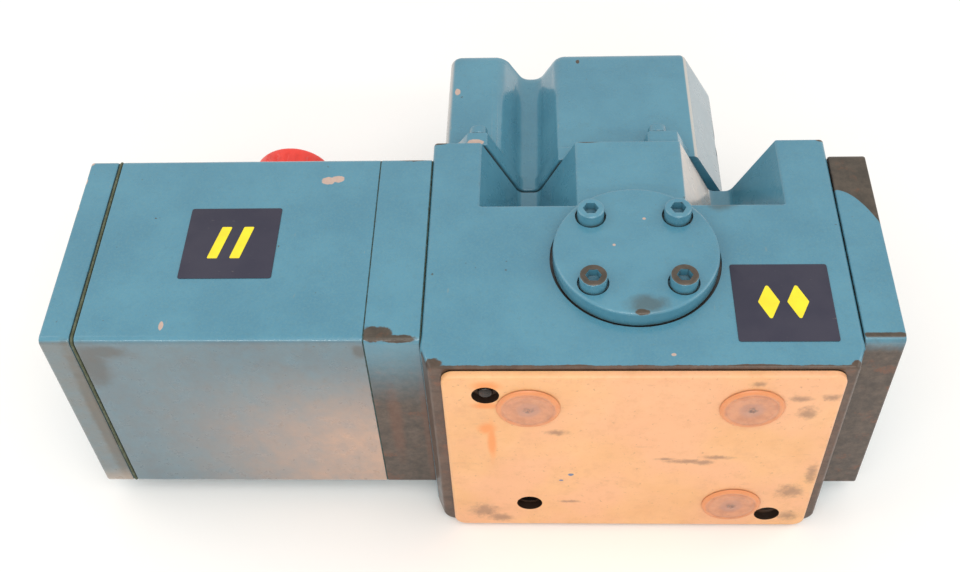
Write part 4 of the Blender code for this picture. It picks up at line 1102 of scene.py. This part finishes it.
def make_plate():
    low, high = extent("shipping_plate")
    fillet = 1.5
    rings = [(high.y, plate_outline(-0.2)), (high.y - 0.2, plate_outline(0))]
    for sine, cosine in quarter(5):
        rings.append((low.y + fillet - fillet * sine, plate_outline(fillet * (cosine - 1))))
    plate = loft("tan_plate", "Y", rings)
    cutters = [rod("Y", point, BOLT_HOLE, low.y - 1, high.y + 1, 64) for point in bolt_points()]
    for point in plate_points():
        cutters.append(rod("Y", point, PLATE_HOLE, low.y - 1, high.y + 1, 64))
    return finish_casting(carve(plate, cutters))


def make_plug(name, node):
    """A push-in plug: a rounded head with a shallow ring and the pip of its moulding gate."""
    low, high = extent(node)
    centre = (middle(node).x, middle(node).z)
    stem = BOLT_HOLE - 0.4
    back = extent("shipping_plate")[0].y - 0.3
    front = low.y
    profile = (
        (front + 0.45, 0), (front + 0.45, 0.7), (front + 0.1, 1.0), (front + 0.1, 1.6),
        (front + 0.35, 2.2), (front + 0.30, 5.0), (front + 0.12, 8.2), (front + 0.02, 9.3),
        (front + 0.30, 9.7), (front + 0.30, 10.1), (front, 10.5), (front + 0.1, 11.3),
        (front + 0.45, 11.95), (back - 0.2, 12.4), (back, 12.3),
        (back, stem), (high.y - 2.0, stem), (high.y, stem - 1.2), (high.y, 0),
    )
    return crease(turned(name, "Y", centre, profile, 80), 55.0)


def make_pin():
    low, high = extent("locating_pin")
    centre = (middle("locating_pin").x, middle("locating_pin").z)
    radius = (high.x - low.x) / 2
    profile = [(high.y, 0), (high.y, radius - 0.4), (high.y - 0.4, radius)]
    profile += round_over(low.y, -1, radius, 1.2, 5) + [(low.y, 0)]
    return crease(turned("dowel", "Y", centre, profile, 48), 50.0)


# ---------------------------------------------------------------- labels

def make_label(name, node):
    """A film with rounded corners and a thin turned-down edge."""
    low, high = extent(node)
    centre = (middle(node).x, middle(node).y)
    side = high.x - low.x
    top = low.z + LABEL_FILM
    rings = []
    for z, inset in ((low.z, 0.0), (top - 0.06, 0.0), (top, 0.08)):
        outline = rectangle(centre, side - 2 * inset, side - 2 * inset, (1.0,) * 4, 6)
        rings.append((z, outline))
    return crease(loft(name, "Z", rings), 50.0)


def make_marks(name, node, shapes):
    """Plain yellow shapes on a label; each is an outline in millimetres from the label's middle."""
    low, _ = extent(node)
    centre = middle(node)
    bottom, top = low.z + LABEL_FILM + 0.005, low.z + LABEL_FILM + 0.08
    mesh = bmesh.new()
    for shape in shapes:
        rings = []
        for z in (bottom, top):
            rings.append([mesh.verts.new(place("Z", z, (centre.x + u, centre.y + v))) for u, v in shape])
        bridge(mesh, *rings)
        mesh.faces.new(rings[0])
        mesh.faces.new(rings[1])
    return crease(settle(name, mesh), 50.0)


def slash(centre_u, width, height, lean):
    """A leaning bar."""
    u, v = width / 2, height / 2
    corners = ((-u - lean, -v, 0.5), (u - lean, -v, 0.5), (u + lean, v, 0.5), (-u + lean, v, 0.5))
    return rounded([(centre_u + a, b, r) for a, b, r in corners], 4)


def lozenge(centre_u, width, height):
    u, v = width / 2, height / 2
    corners = ((0, -v), (u, 0), (0, v), (-u, 0))
    return rounded([(centre_u + a, b, 0.7) for a, b in corners], 4)


# ---------------------------------------------------------------- materials of the pieces

def body_bare(m, ragged):
    """Bare metal round the mounting face and along the taper."""
    depth = m.less(m.axis("Y"), MOUNT_FACE)
    side_x = m.math("ABSOLUTE", m.less(m.axis("X"), BODY_X))
    rim = m.step(m.plus(depth, m.times(ragged, 1.6)), 1.3, 0.9)
    off_top = m.step(m.axis("Z"), BODY_TOP - 0.4, BODY_TOP - 1.4)
    taper = m.step(m.plus(side_x, m.times(ragged, 2.5)), 81.0, 80.0)
    taper = m.times(m.step(depth, 9.0, 8.0), m.less(1.0, taper))
    taper = m.times(taper, off_top)
    return m.most(rim, taper)


def round_distance(m, centre, axis):
    """How far the point is from a line along an axis, in millimetres."""
    wide = [1.0, 1.0, 1.0]
    wide["XYZ".index(axis)] = 1e6
    return m.length(m.moved(centre, wide))


def body_painted_shade(m):
    """Painted shade in the groove round the filter cover and in the mounting face's bolt holes."""
    radius = cover_radius()
    off_centre = round_distance(m, (COVER.x, COVER.y, 0.0), "Z")
    ring = m.step(off_centre, radius - 1.0, radius - 0.4)
    sunk = m.step(m.axis("Z"), BODY_TOP - 0.12, BODY_TOP - 0.35)
    near = m.step(off_centre, radius + 2.4, radius + 1.9)
    total = m.times(ring, near, sunk)
    deep = m.step(m.axis("Y"), MOUNT_FACE + 0.3, MOUNT_FACE + 0.8)
    reach = m.step(m.axis("Y"), PARTING - POCKET_LENGTH + 0.5, PARTING - POCKET_LENGTH - 1.5)
    deep = m.times(deep, reach)
    for x, z in bolt_points():
        hole = m.step(round_distance(m, (x, 0.0, z), "Y"), BOLT_HOLE + 0.6, BOLT_HOLE + 0.2)
        total = m.most(total, m.times(hole, deep))
    return total


def body_dust_and_highlight(m):
    """Pale dust and painted highlight on the right rear pocket's inner wall."""
    wall = m.step(m.facing((1, 0, 0)), 0.55, 0.85)
    rear = m.step(m.axis("Y"), PARTING - POCKET_LENGTH - 1.0, PARTING - POCKET_LENGTH + 1.0)
    right = m.times(m.step(m.axis("X"), 88.0, 90.0), m.step(m.axis("X"), 111.0, 109.0))
    strength = m.times(wall, rear, right)
    patchy = m.blend(m.step(m.noise(7.0, 4.0, 0.65, shift=5.0), 0.3, 0.65), 0.70, 0.95)
    return ((m.times(strength, patchy), (0.52, 0.44, 0.38)),)


def front_share(m):
    return m.step(m.facing((0, -1, 0)), 0.6, 0.95)


def on_top(*rows):
    """Spots on the upper face, each (x, y, three half sizes)."""
    return tuple(((x, y, BODY_TOP), half_sizes) for x, y, *half_sizes in rows)


def housing_dust_and_reflection(m):
    """Dust and painted floor reflection on the front face: thin and grey at the top left, thick and pinkish
    at the lower right.
    """
    front = front_share(m)
    uneven = m.blend(m.noise(9.0, 6.0, 0.72, shift=5.0), 0.35, 1.65)
    across = m.step(m.axis("X"), -152.0, -28.0)
    down = m.step(m.axis("Z"), 108.0, 38.0)
    thick = m.times(across, down, 0.74)
    thick = m.plus(m.times(thick, uneven), 0.03)
    stained = m.step(m.noise(3.0, 6.0, 0.75, stretch=(1.0, 1.0, 2.2), shift=27.0), 0.55, 0.72)
    return (
        (m.times(front, uneven, 0.50), (0.11, 0.095, 0.085)),
        (m.times(front, thick), (0.55, 0.34, 0.235)),
        (m.times(front, stained, 0.22), (0.11, 0.075, 0.045)),
    )


def end_cover_dust_and_reflection(m):
    # Dust and painted floor reflection on the front face, pale towards its bottom.
    uneven = m.blend(m.noise(8.0, 6.0, 0.7, shift=5.0), 0.30, 0.85)
    lower = m.step(m.axis("Z"), 24.0, 8.0)
    return (
        (m.times(front_share(m), uneven), (0.17, 0.115, 0.070)),
        (m.times(front_share(m), lower, 0.5), (0.60, 0.42, 0.30)),
    )


def pilot_grey_and_highlights(m):
    """Grey on the slope at the right, a painted highlight along the edge above it, and a pale painted
    reflection on the left side.
    """
    sideways = m.facing((1, 0, 0))
    right = m.step(m.axis("X"), 92.0, 96.0)
    slope = m.times(right, m.step(sideways, 0.60, 0.85))
    edge = m.times(m.step(sideways, 0.12, 0.35), m.step(sideways, 0.88, 0.70))
    edge = m.times(edge, right, m.step(m.axis("Z"), PILOT_TOP - 9, PILOT_TOP - 5))
    left = m.step(m.facing((-1, 0, 0)), 0.35, 0.75)
    left = m.times(left, m.step(m.axis("X"), -4.0, -9.0))
    uneven = m.blend(m.noise(14.0, 4.0, 0.6, shift=44.0), 0.45, 0.75)
    return (
        (m.times(slope, uneven, 0.7), (0.26, 0.25, 0.245)),
        (m.times(edge, 0.75), (0.60, 0.53, 0.46)),
        (m.times(left, uneven), (0.62, 0.52, 0.45)),
    )


def adapter_bare(m, ragged):
    """The adapter's front face has lost its paint, most of all low down."""
    front = m.step(m.axis("Y"), extent("adapter_plate")[0].y + 1.6, extent("adapter_plate")[0].y + 0.8)
    height = m.plus(m.axis("Z"), m.times(ragged, 9.0))
    return m.times(front, m.step(height, 124.0, 66.0))


def end_plate_bare(m, ragged):
    """Bare over the back third, along the near top edge and down the front."""
    low, high = extent("end_plate")
    curve = m.math("POWER", m.most(m.less(m.axis("X"), low.x), 0.0), 2.0)
    line = m.plus(m.less(m.axis("Y"), -4.5), m.times(curve, 0.078))
    back = m.step(m.plus(line, m.times(ragged, 0.5)), -0.3, 0.3)
    back = m.times(back, m.step(m.axis("Z"), 40.0, 60.0))
    near = m.step(m.plus(m.axis("Y"), ragged), low.y + 3.6, low.y + 3.0)
    upper = m.step(m.axis("Z"), high.z - 0.6, high.z - 0.2)
    front = m.step(m.axis("Y"), low.y + 1.6, low.y + 0.8)
    height = m.plus(m.axis("Z"), m.times(ragged, 5.0))
    front = m.times(front, m.step(height, 116.5, 106.0))
    return m.most(back, m.times(near, upper), front)


def body_paint():
    front = MOUNT_FACE
    return paint(
        "body_paint",
        bare=on_top(
            (BODY_LOW.x + 5.0, front + 1.5, 3.6, 3.4, 3.0),
            (BODY_HIGH.x - 4.0, front + 1.0, 2.6, 2.2, 2.4),
            (BODY_LOW.x + 2.0, PARTING, 4.5, 1.4, 1.8),
            (BODY_HIGH.x - 1.0, PARTING, 2.4, 1.6, 1.6),
            (BODY_X - 17.5, PARTING, 4.5, 1.0, 1.2),
            (BODY_X - 26.0, front + 0.5, 11.0, 1.0, 1.0),
            (BODY_X + 42.0, front + 0.5, 16.0, 1.1, 1.0),
        ),
        grime=(((BODY_X + 37.0, -12.0, BODY_TOP - 6), (7.0, 4.0, 9.0)),),
        pale=on_top((BODY_X + 12.0, front + 6.0, 0.9, 0.7, 0.8)),
        bare_field=body_bare,
        rusty=(((BODY_X, front + 3.0, BORE_Z), (96.0, 7.0, 72.0)),),
        films=body_dust_and_highlight,
        dark=body_painted_shade,
    )


def adapter_paint():
    low, high = extent("adapter_plate")
    return paint(
        "adapter_paint",
        bare=on_top(
            (low.x + 5.2, low.y + 3.4, 6.0, 3.6, 2.4),
            (low.x + 12.5, low.y + 0.6, 8.0, 2.2, 1.8),
            (high.x - 7.5, high.y, 6.8, 2.2, 1.8),
        ),
        rusty=(
            ((high.x - 1.0, low.y, 55.0), (1.6, 3.0, 50.0)),
            ((low.x + 8.0, low.y, 58.0), (2.6, 3.0, 26.0)),
        ),
        bare_field=adapter_bare,
    )


def end_plate_paint():
    return paint("end_plate_paint", bare_field=end_plate_bare)


def housing_paint():
    low, high = extent("electronics_housing")
    return paint(
        "housing_paint",
        pale=on_top(
            (-61.2, 3.2, 3.0, 2.2, 1.5),
            (-57.4, 4.1, 2.8, 1.9, 1.5),
            (-119.2, -74.6, 0.9, 2.2, 1.5),
            (-118.6, 16.2, 2.0, 1.0, 1.2),
        ),
        grime=(
            ((low.x + 4.0, low.y, 99.0), (6.0, 3.0, 13.0)),
            ((low.x + 9.0, low.y, 108.0), (10.0, 3.0, 4.0)),
            ((high.x - 2.0, low.y, 108.0), (2.6, 3.0, 4.0)),
        ),
        films=housing_dust_and_reflection,
    )


def end_cover_paint():
    low, high = extent("end_cover")
    return paint(
        "end_cover_paint",
        pale=on_top(
            (low.x, 15.0, 1.6, 1.6, 1.4),
            (low.x, 4.0, 0.8, 1.8, 1.2),
            (low.x, -12.0, 0.7, 1.4, 1.2),
        ),
        grime=(((high.x - 2.0, low.y, 60.0), (3.0, 3.0, 50.0)),),
        films=end_cover_dust_and_reflection,
        edge_wear=0.8,
    )


def pilot_paint():
    front = extent("pilot_housing")[0].y
    return paint(
        "pilot_paint",
        pale=(
            ((EAR_X[0] - 1.0, front + 1.5, EAR_TOP), (3.6, 1.8, 1.6)),
            ((-9.5, 74.0, PILOT_TOP), (1.3, 2.2, 1.8)),
        ),
        bare=(((47.0, 94.5, PILOT_TOP), (0.9, 1.4, 1.2)),),
        films=pilot_grey_and_highlights,
        edge_wear=0.3,
    )


def filter_cover_paint():
    low, high = extent("filter_cover")
    return paint(
        "round_cover_paint",
        bare=(((COVER.x + 1.0, low.y + 1.0, high.z), (3.0, 1.6, 1.0)),),
        pale=(
            ((COVER.x - 8.6, COVER.y + 2.0, high.z), (0.6, 0.6, 0.8)),
            ((COVER.x + 4.0, COVER.y + 16.0, high.z), (0.7, 0.6, 0.8)),
        ),
        grime=(((COVER.x + 3.0, low.y + 5.0, high.z), (7.0, 4.0, 2.0)),),
        edge_wear=0.2,
    )


def bare_top_screw():
    """A screw with its paint left on the sides and worn off the top."""
    top = extent("filter_cover_screw_1")[1].z

    def worn(m, ragged):
        return m.step(m.plus(m.axis("Z"), m.times(ragged, 0.7)), top - 0.5, top - 0.3)

    return paint("bare_top_screw", bare_field=worn, edge_wear=0.7)


def plate_material():
    """Tan moulding with oil, rust and soot stains."""
    front = extent("shipping_plate")[0].y
    m = Shading("tan_plastic")

    def marks(rows, wobble, fray):
        """Spots on the front face, each (x, z, half width, half height)."""
        return m.spots([((x, front, z), (wide, 2.0, tall)) for x, z, wide, tall in rows], wobble, fray)

    ragged = m.wobble(9.0, 0.5)
    colour = m.mix(m.step(m.noise(30.0, 5.0, 0.65), 0.3, 0.75), (0.78, 0.43, 0.200), (0.71, 0.37, 0.160))
    pink = m.step(m.noise(42.0, 3.0, 0.5, shift=61.0), 0.40, 0.62)
    colour = m.over(colour, (0.77, 0.39, 0.225), pink, 0.55)
    cloud = m.step(m.noise(7.0, 7.0, 0.78, shift=11.0), 0.47, 0.68)
    colour = m.over(colour, (0.58, 0.29, 0.14), cloud, 0.34)
    scratch = m.step(m.noise(4.0, 7.0, 0.8, stretch=(2.4, 1.0, 0.7), shift=23.0), 0.58, 0.70)
    colour = m.over(colour, (0.42, 0.22, 0.12), scratch, 0.34)
    speck = m.step(m.noise(1.6, 4.0, 0.65, shift=77.0), 0.62, 0.72)
    colour = m.over(colour, (0.33, 0.17, 0.09), speck, 0.50)
    rust_spots = (
        (7.4, 79.0, 3.2, 3.6),
        (9.0, 70.0, 1.6, 12.0),
        (8.0, 108.0, 5.0, 3.0),
        (7.5, 95.0, 5.0, 2.0),
    )
    colour = m.over(colour, (0.76, 0.24, 0.05), marks(rust_spots, ragged, 0.6), 0.75)
    soot_spots = (
        (88.0, 54.6, 7.0, 1.3),
        (94.5, 54.0, 3.4, 1.5),
        (100.0, 57.6, 5.0, 1.2),
        (79.0, 56.4, 3.0, 0.8),
        (4.0, 14.0, 5.0, 4.4),
        (11.0, 8.0, 4.4, 2.6),
        (135.0, 10.5, 3.4, 3.2),
        (133.0, 31.0, 4.4, 4.2),
        (139.5, 45.0, 1.8, 6.0),
        (127.0, 99.5, 3.6, 1.6),
        (138.5, 100.5, 3.0, 1.8),
        (110.0, 109.0, 2.2, 1.6),
        (131.0, 90.0, 3.0, 3.4),
        (35.0, 76.0, 4.0, 1.6),
        (41.0, 22.0, 3.6, 0.9),
    )
    soot = marks(soot_spots, m.wobble(2.8, 1.2), 0.8)
    colour = m.over(colour, (0.17, 0.10, 0.065), soot, 0.62)
    blue_spots = (
        (41.0, 44.0, 1.1, 1.0),
        (37.0, 39.5, 1.0, 0.6),
    )
    colour = m.over(colour, (0.12, 0.17, 0.26), marks(blue_spots, m.wobble(1.5, 0.5), 0.2))
    # Painted shade: the walls inside the holes are laid over in near black.
    walls = m.step(m.facing((0, -1, 0)), 0.5, 0.1)
    for x, z in plate_points() + bolt_points():
        hole = m.step(round_distance(m, (x, 0.0, z), "Y"), PLATE_HOLE + 0.7, PLATE_HOLE + 0.3)
        colour = m.over(colour, (0.026, 0.014, 0.009), hole, walls, 1.0)
    rough = m.blend(m.noise(12.0, 4.0, shift=4.0), 0.30, 0.50)
    wave = m.bump(m.noise(16.0, 3.0, 0.5), 0.25, 1.0)
    grain = m.bump(m.noise(1.0, 3.0, 0.6), 0.10, 0.2, wave)
    m.glow(0.08, (1.0, 0.5, 0.3), 1.5)
    return m.done(colour, rough, 0.0, grain)


def plug_material(node):
    """Translucent orange: dark where the stem starts, pale between, grey at the gate."""
    centre = middle(node)
    m = Shading(f"{node}_plastic")
    radius = m.plus(round_distance(m, (centre.x, 0.0, centre.z), "Y"), m.wobble(4.0, 1.2))
    colour = m.mix(m.step(m.noise(5.0, 5.0, 0.6), 0.35, 0.7), (0.60, 0.27, 0.145), (0.48, 0.205, 0.110))
    colour = m.over(colour, (0.40, 0.22, 0.17), m.step(radius, 6.2, 3.2), 0.55)
    grey = m.times(m.step(radius, 2.8, 0.8), m.step(m.noise(1.2, 4.0), 0.35, 0.6))
    colour = m.over(colour, (0.12, 0.10, 0.09), grey, 0.75)
    colour = m.over(colour, (0.70, 0.26, 0.09), m.step(radius, 9.8, 11.4), 0.75)
    m.glow(0.15, (1.0, 0.4, 0.25), 2.0)
    rough = m.blend(m.noise(4.0, 4.0, shift=9.0), 0.22, 0.42)
    return m.done(colour, rough, 0.0, m.bump(m.noise(2.5, 4.0), 0.2, 0.3))


def film_material():
    m = Shading("navy_film")
    colour = m.mix(m.step(m.noise(12.0, 4.0), 0.3, 0.7), (0.044, 0.042, 0.062), (0.037, 0.036, 0.056))
    scuff = m.step(m.noise(1.6, 5.0, 0.7, stretch=(2.5, 1.0, 1.0), shift=15.0), 0.66, 0.76)
    colour = m.over(colour, (0.22, 0.19, 0.18), scuff, 0.45)
    rough = m.blend(m.noise(6.0, 4.0, shift=2.0), 0.45, 0.65)
    return m.done(colour, rough, 0.0, m.bump(m.noise(4.0, 3.0), 0.12, 0.3), 0.2)


# ---------------------------------------------------------------- assembly

def dress_inner_nodes():
    """Procedural materials for the CAD nodes that stay as they are."""
    finishes = {
        "machined_steel": steel("honed_steel", (0.45, 0.44, 0.42), (0.33, 0.32, 0.30), 0.3, 1.0, 0.12),
        "screw_steel": steel("black_steel", (0.07, 0.055, 0.045), (0.14, 0.10, 0.075), 0.45, 0.7),
        "spring_steel": steel("spring_wire", (0.30, 0.30, 0.31), (0.18, 0.18, 0.19), 0.35, 1.0, 0.1),
        "seal_rubber": rubber("nitrile", (0.018, 0.018, 0.016), (0.045, 0.042, 0.035)),
        "gasket_board": rubber("gasket_sheet", (0.065, 0.075, 0.040), (0.13, 0.15, 0.10)),
        "circuit_card": circuit("circuit_card"),
        "coil_winding": winding("copper_winding"),
        "bare_aluminium": steel("cast_aluminium", (0.55, 0.55, 0.56), (0.40, 0.40, 0.41), 0.42, 1.0, 0.08),
        "filter_bronze": sintered("sintered_bronze"),
    }
    for entry in frame["record"]["subparts"]:
        finish = finishes.get(entry["material_slot"])
        if finish is not None:
            mesh = frame["nodes"][entry["node"]].data
            mesh.materials.clear()
            mesh.materials.append(finish)
    return finishes


def make_screws(finishes):
    painted, bare_top = paint("painted_screw", edge_wear=0.7), bare_top_screw()
    tops = {1: bare_top, 2: bare_top, 3: painted, 4: painted}
    for i, (across, box) in enumerate(head_spots("filter_cover_screw", "Z"), 1):
        screw = cap_screw(f"cover_screw_{i}", "Z", across, box, 1, (5.5, 7.5), 3.2)
        dress(screw, tops[i], "valve", "screw_steel", f"filter_cover_screw_{i}")
    black = finishes["screw_steel"]
    sets = (
        ("end_plate_screw", "X", 1, (6.5, 8.0), 3.7, "plate_screw", black),
        ("end_cover_screw", "X", -1, (4.25, 5.0), 2.4, "lid_screw", black),
        ("pilot_screw", "Y", 1, (EAR_SCREW, 5.0), 2.3, "ear_screw", painted),
    )
    for stem, axis, direction, head, hex_radius, piece_name, material in sets:
        for i, (across, box) in enumerate(head_spots(stem, axis), 1):
            screw = cap_screw(f"{piece_name}_{i}", axis, across, box, direction, head, hex_radius)
            dress(screw, material, "valve", "screw_steel", f"{stem}_{i}")


def make_labels():
    film = film_material()
    yellow = moulded("yellow_ink", (0.85, 0.72, 0.02), (0.78, 0.63, 0.02), 0.4)
    marks = {
        "left_label": (slash(-4.6, 4.2, 17.0, 2.0), slash(4.6, 4.2, 17.0, 2.0)),
        "right_label": (lozenge(-5.6, 8.4, 18.0), lozenge(5.6, 8.4, 18.0)),
    }
    for node, shapes in marks.items():
        dress(make_label(f"{node}_film", node), film, "valve", "label_film", node)
        dress(make_marks(f"{node}_marks", node, shapes), yellow, "valve", "label_film")


def make_seams():
    seam = rubber("seam_paint", (0.035, 0.050, 0.030), (0.075, 0.150, 0.150))
    low, high = extent("adapter_plate")
    housing_end = extent("electronics_housing")[1].x
    gap = 0.02
    for name, start, end, sunk in (
        ("housing_seam", housing_end, low.x, 0.25),
        ("body_seam", high.x, BODY_LOW.x, 0.35),
    ):
        dress(make_seam(name, start + gap, end - gap, sunk), seam, "valve", "blue_paint")


def make_castings():
    castings = (
        (make_body, body_paint, "main_body"),
        (make_adapter, adapter_paint, "adapter_plate"),
        (make_end_plate, end_plate_paint, "end_plate"),
        (make_housing, housing_paint, "electronics_housing"),
        (make_end_cover, end_cover_paint, "end_cover"),
        (make_pilot_housing, pilot_paint, "pilot_housing"),
        (make_filter_cover, filter_cover_paint, "filter_cover"),
    )
    for make, finish, node in castings:
        dress(make(), finish(), "valve", "blue_paint", node)


def make_shipping_cover():
    dress(make_plate(), plate_material(), "shipping_cover", "plate_tan", "shipping_plate")
    for i in (1, 2, 3):
        node = f"plate_plug_{i}"
        plug = make_plug(f"orange_plug_{i}", node)
        dress(plug, plug_material(node), "shipping_cover", "plug_orange", node)


def build():
    finishes = dress_inner_nodes()
    make_castings()
    dress(make_gasket(), finishes["gasket_board"], "valve", "gasket_board", "end_cover_gasket")
    make_seams()
    make_screws(finishes)
    aluminium = finishes["bare_aluminium"]
    dress(make_pilot_plug(), finishes["screw_steel"], "valve", "screw_steel", "pilot_end_plug")
    dress(make_pilot_cap(), aluminium, "valve", "bare_aluminium", "pilot_end_cap")
    dress(make_receptacle(), aluminium, "valve", "bare_aluminium", "receptacle")
    brass = steel("brass_contacts", (0.60, 0.42, 0.16), (0.45, 0.30, 0.10), 0.3, 1.0, 0.1)
    dress(make_contacts(), brass, "valve", "bare_aluminium")
    dress(make_flange_screws(), finishes["machined_steel"], "valve", "machined_steel")
    red = moulded("red_plastic", (0.84, 0.050, 0.032), (0.72, 0.036, 0.024), 0.3, 0.05)
    dress(make_dust_cap(), red, "connector_cap", "cap_red", "dust_cap")
    make_shipping_cover()
    pin_steel = steel("dark_pin", (0.035, 0.030, 0.027), (0.016, 0.013, 0.011), 0.25, 0.6)
    dress(make_pin(), pin_steel, "valve", "machined_steel", "locating_pin")
    make_labels()


def make_stage():
    """A wide pale floor under the valve."""
    mesh = bmesh.new()
    half = 4.0
    level = -0.0002
    corners = ((-half, -half), (half, -half), (half, half), (-half, half))
    mesh.faces.new([mesh.verts.new((x, y, level)) for x, y in corners])
    data = bpy.data.meshes.new("floor")
    mesh.to_mesh(data)
    mesh.free()
    floor = bpy.data.objects.new("floor", data)
    bpy.context.scene.collection.objects.link(floor)
    m = Shading("pale_floor")
    colour = m.mix(m.noise(400.0, 3.0), (0.93, 0.915, 0.895), (0.90, 0.88, 0.855))
    data.materials.append(m.done(colour, 0.75, 0.0, None, 0.2))


def make_light(name, place_at, target, size, power, colour=(1, 1, 1), height=None):
    """An area light, square, or a strip when its height is given."""
    data = bpy.data.lights.new(name, "AREA")
    data.size = size
    if height is not None:
        data.shape = "RECTANGLE"
        data.size_y = height
    data.energy = power
    data.color = colour
    light = bpy.data.objects.new(name, data)
    light.location = place_at
    light.rotation_euler = (Vector(target) - Vector(place_at)).to_track_quat("-Z", "Y").to_euler()
    bpy.context.scene.collection.objects.link(light)


def make_lights():
    centre = (0.0, 0.0, 0.05)
    make_light("key", (0.25, -0.75, 1.35), centre, 0.9, 5.4, (1.0, 0.985, 0.96))
    make_light("fill", (-1.2, 0.1, 1.0), centre, 1.2, 4.5)
    make_light("side", (1.3, 0.1, 0.8), centre, 1.0, 4.0)
    make_light("near", (-0.06, -0.545, 0.475), centre, 0.6, 0.98, (1.0, 0.97, 0.93), 0.025)
    world = bpy.data.worlds.new("studio")
    world.use_nodes = True
    background = world.node_tree.nodes["Background"]
    background.inputs["Color"].default_value = (1.0, 0.985, 0.965, 1.0)
    background.inputs["Strength"].default_value = 0.85
    bpy.context.scene.world = world
    bpy.context.scene.view_settings.view_transform = "Standard"


def make_camera():
    pitch, yaw, roll = (math.radians(a) for a in (CAMERA_PITCH, CAMERA_YAW, CAMERA_ROLL))
    forward = Vector((math.sin(yaw) * math.cos(pitch), math.cos(yaw) * math.cos(pitch), -math.sin(pitch)))
    level = Vector((math.cos(yaw), -math.sin(yaw), 0.0))
    upright = level.cross(forward)
    right = math.cos(roll) * level + math.sin(roll) * upright
    up = -math.sin(roll) * level + math.cos(roll) * upright
    data = bpy.data.cameras.new("camera")
    data.lens = CAMERA_LENS
    data.sensor_width = 36.0
    data.clip_start = 0.01
    camera = bpy.data.objects.new("camera", data)
    turn = Matrix((right, up, -forward)).transposed().to_4x4()
    camera.matrix_world = Matrix.Translation(Vector(CAMERA_PLACE) * MM) @ turn
    bpy.context.scene.collection.objects.link(camera)
    bpy.context.scene.camera = camera


build()
make_stage()
make_lights()
make_camera()
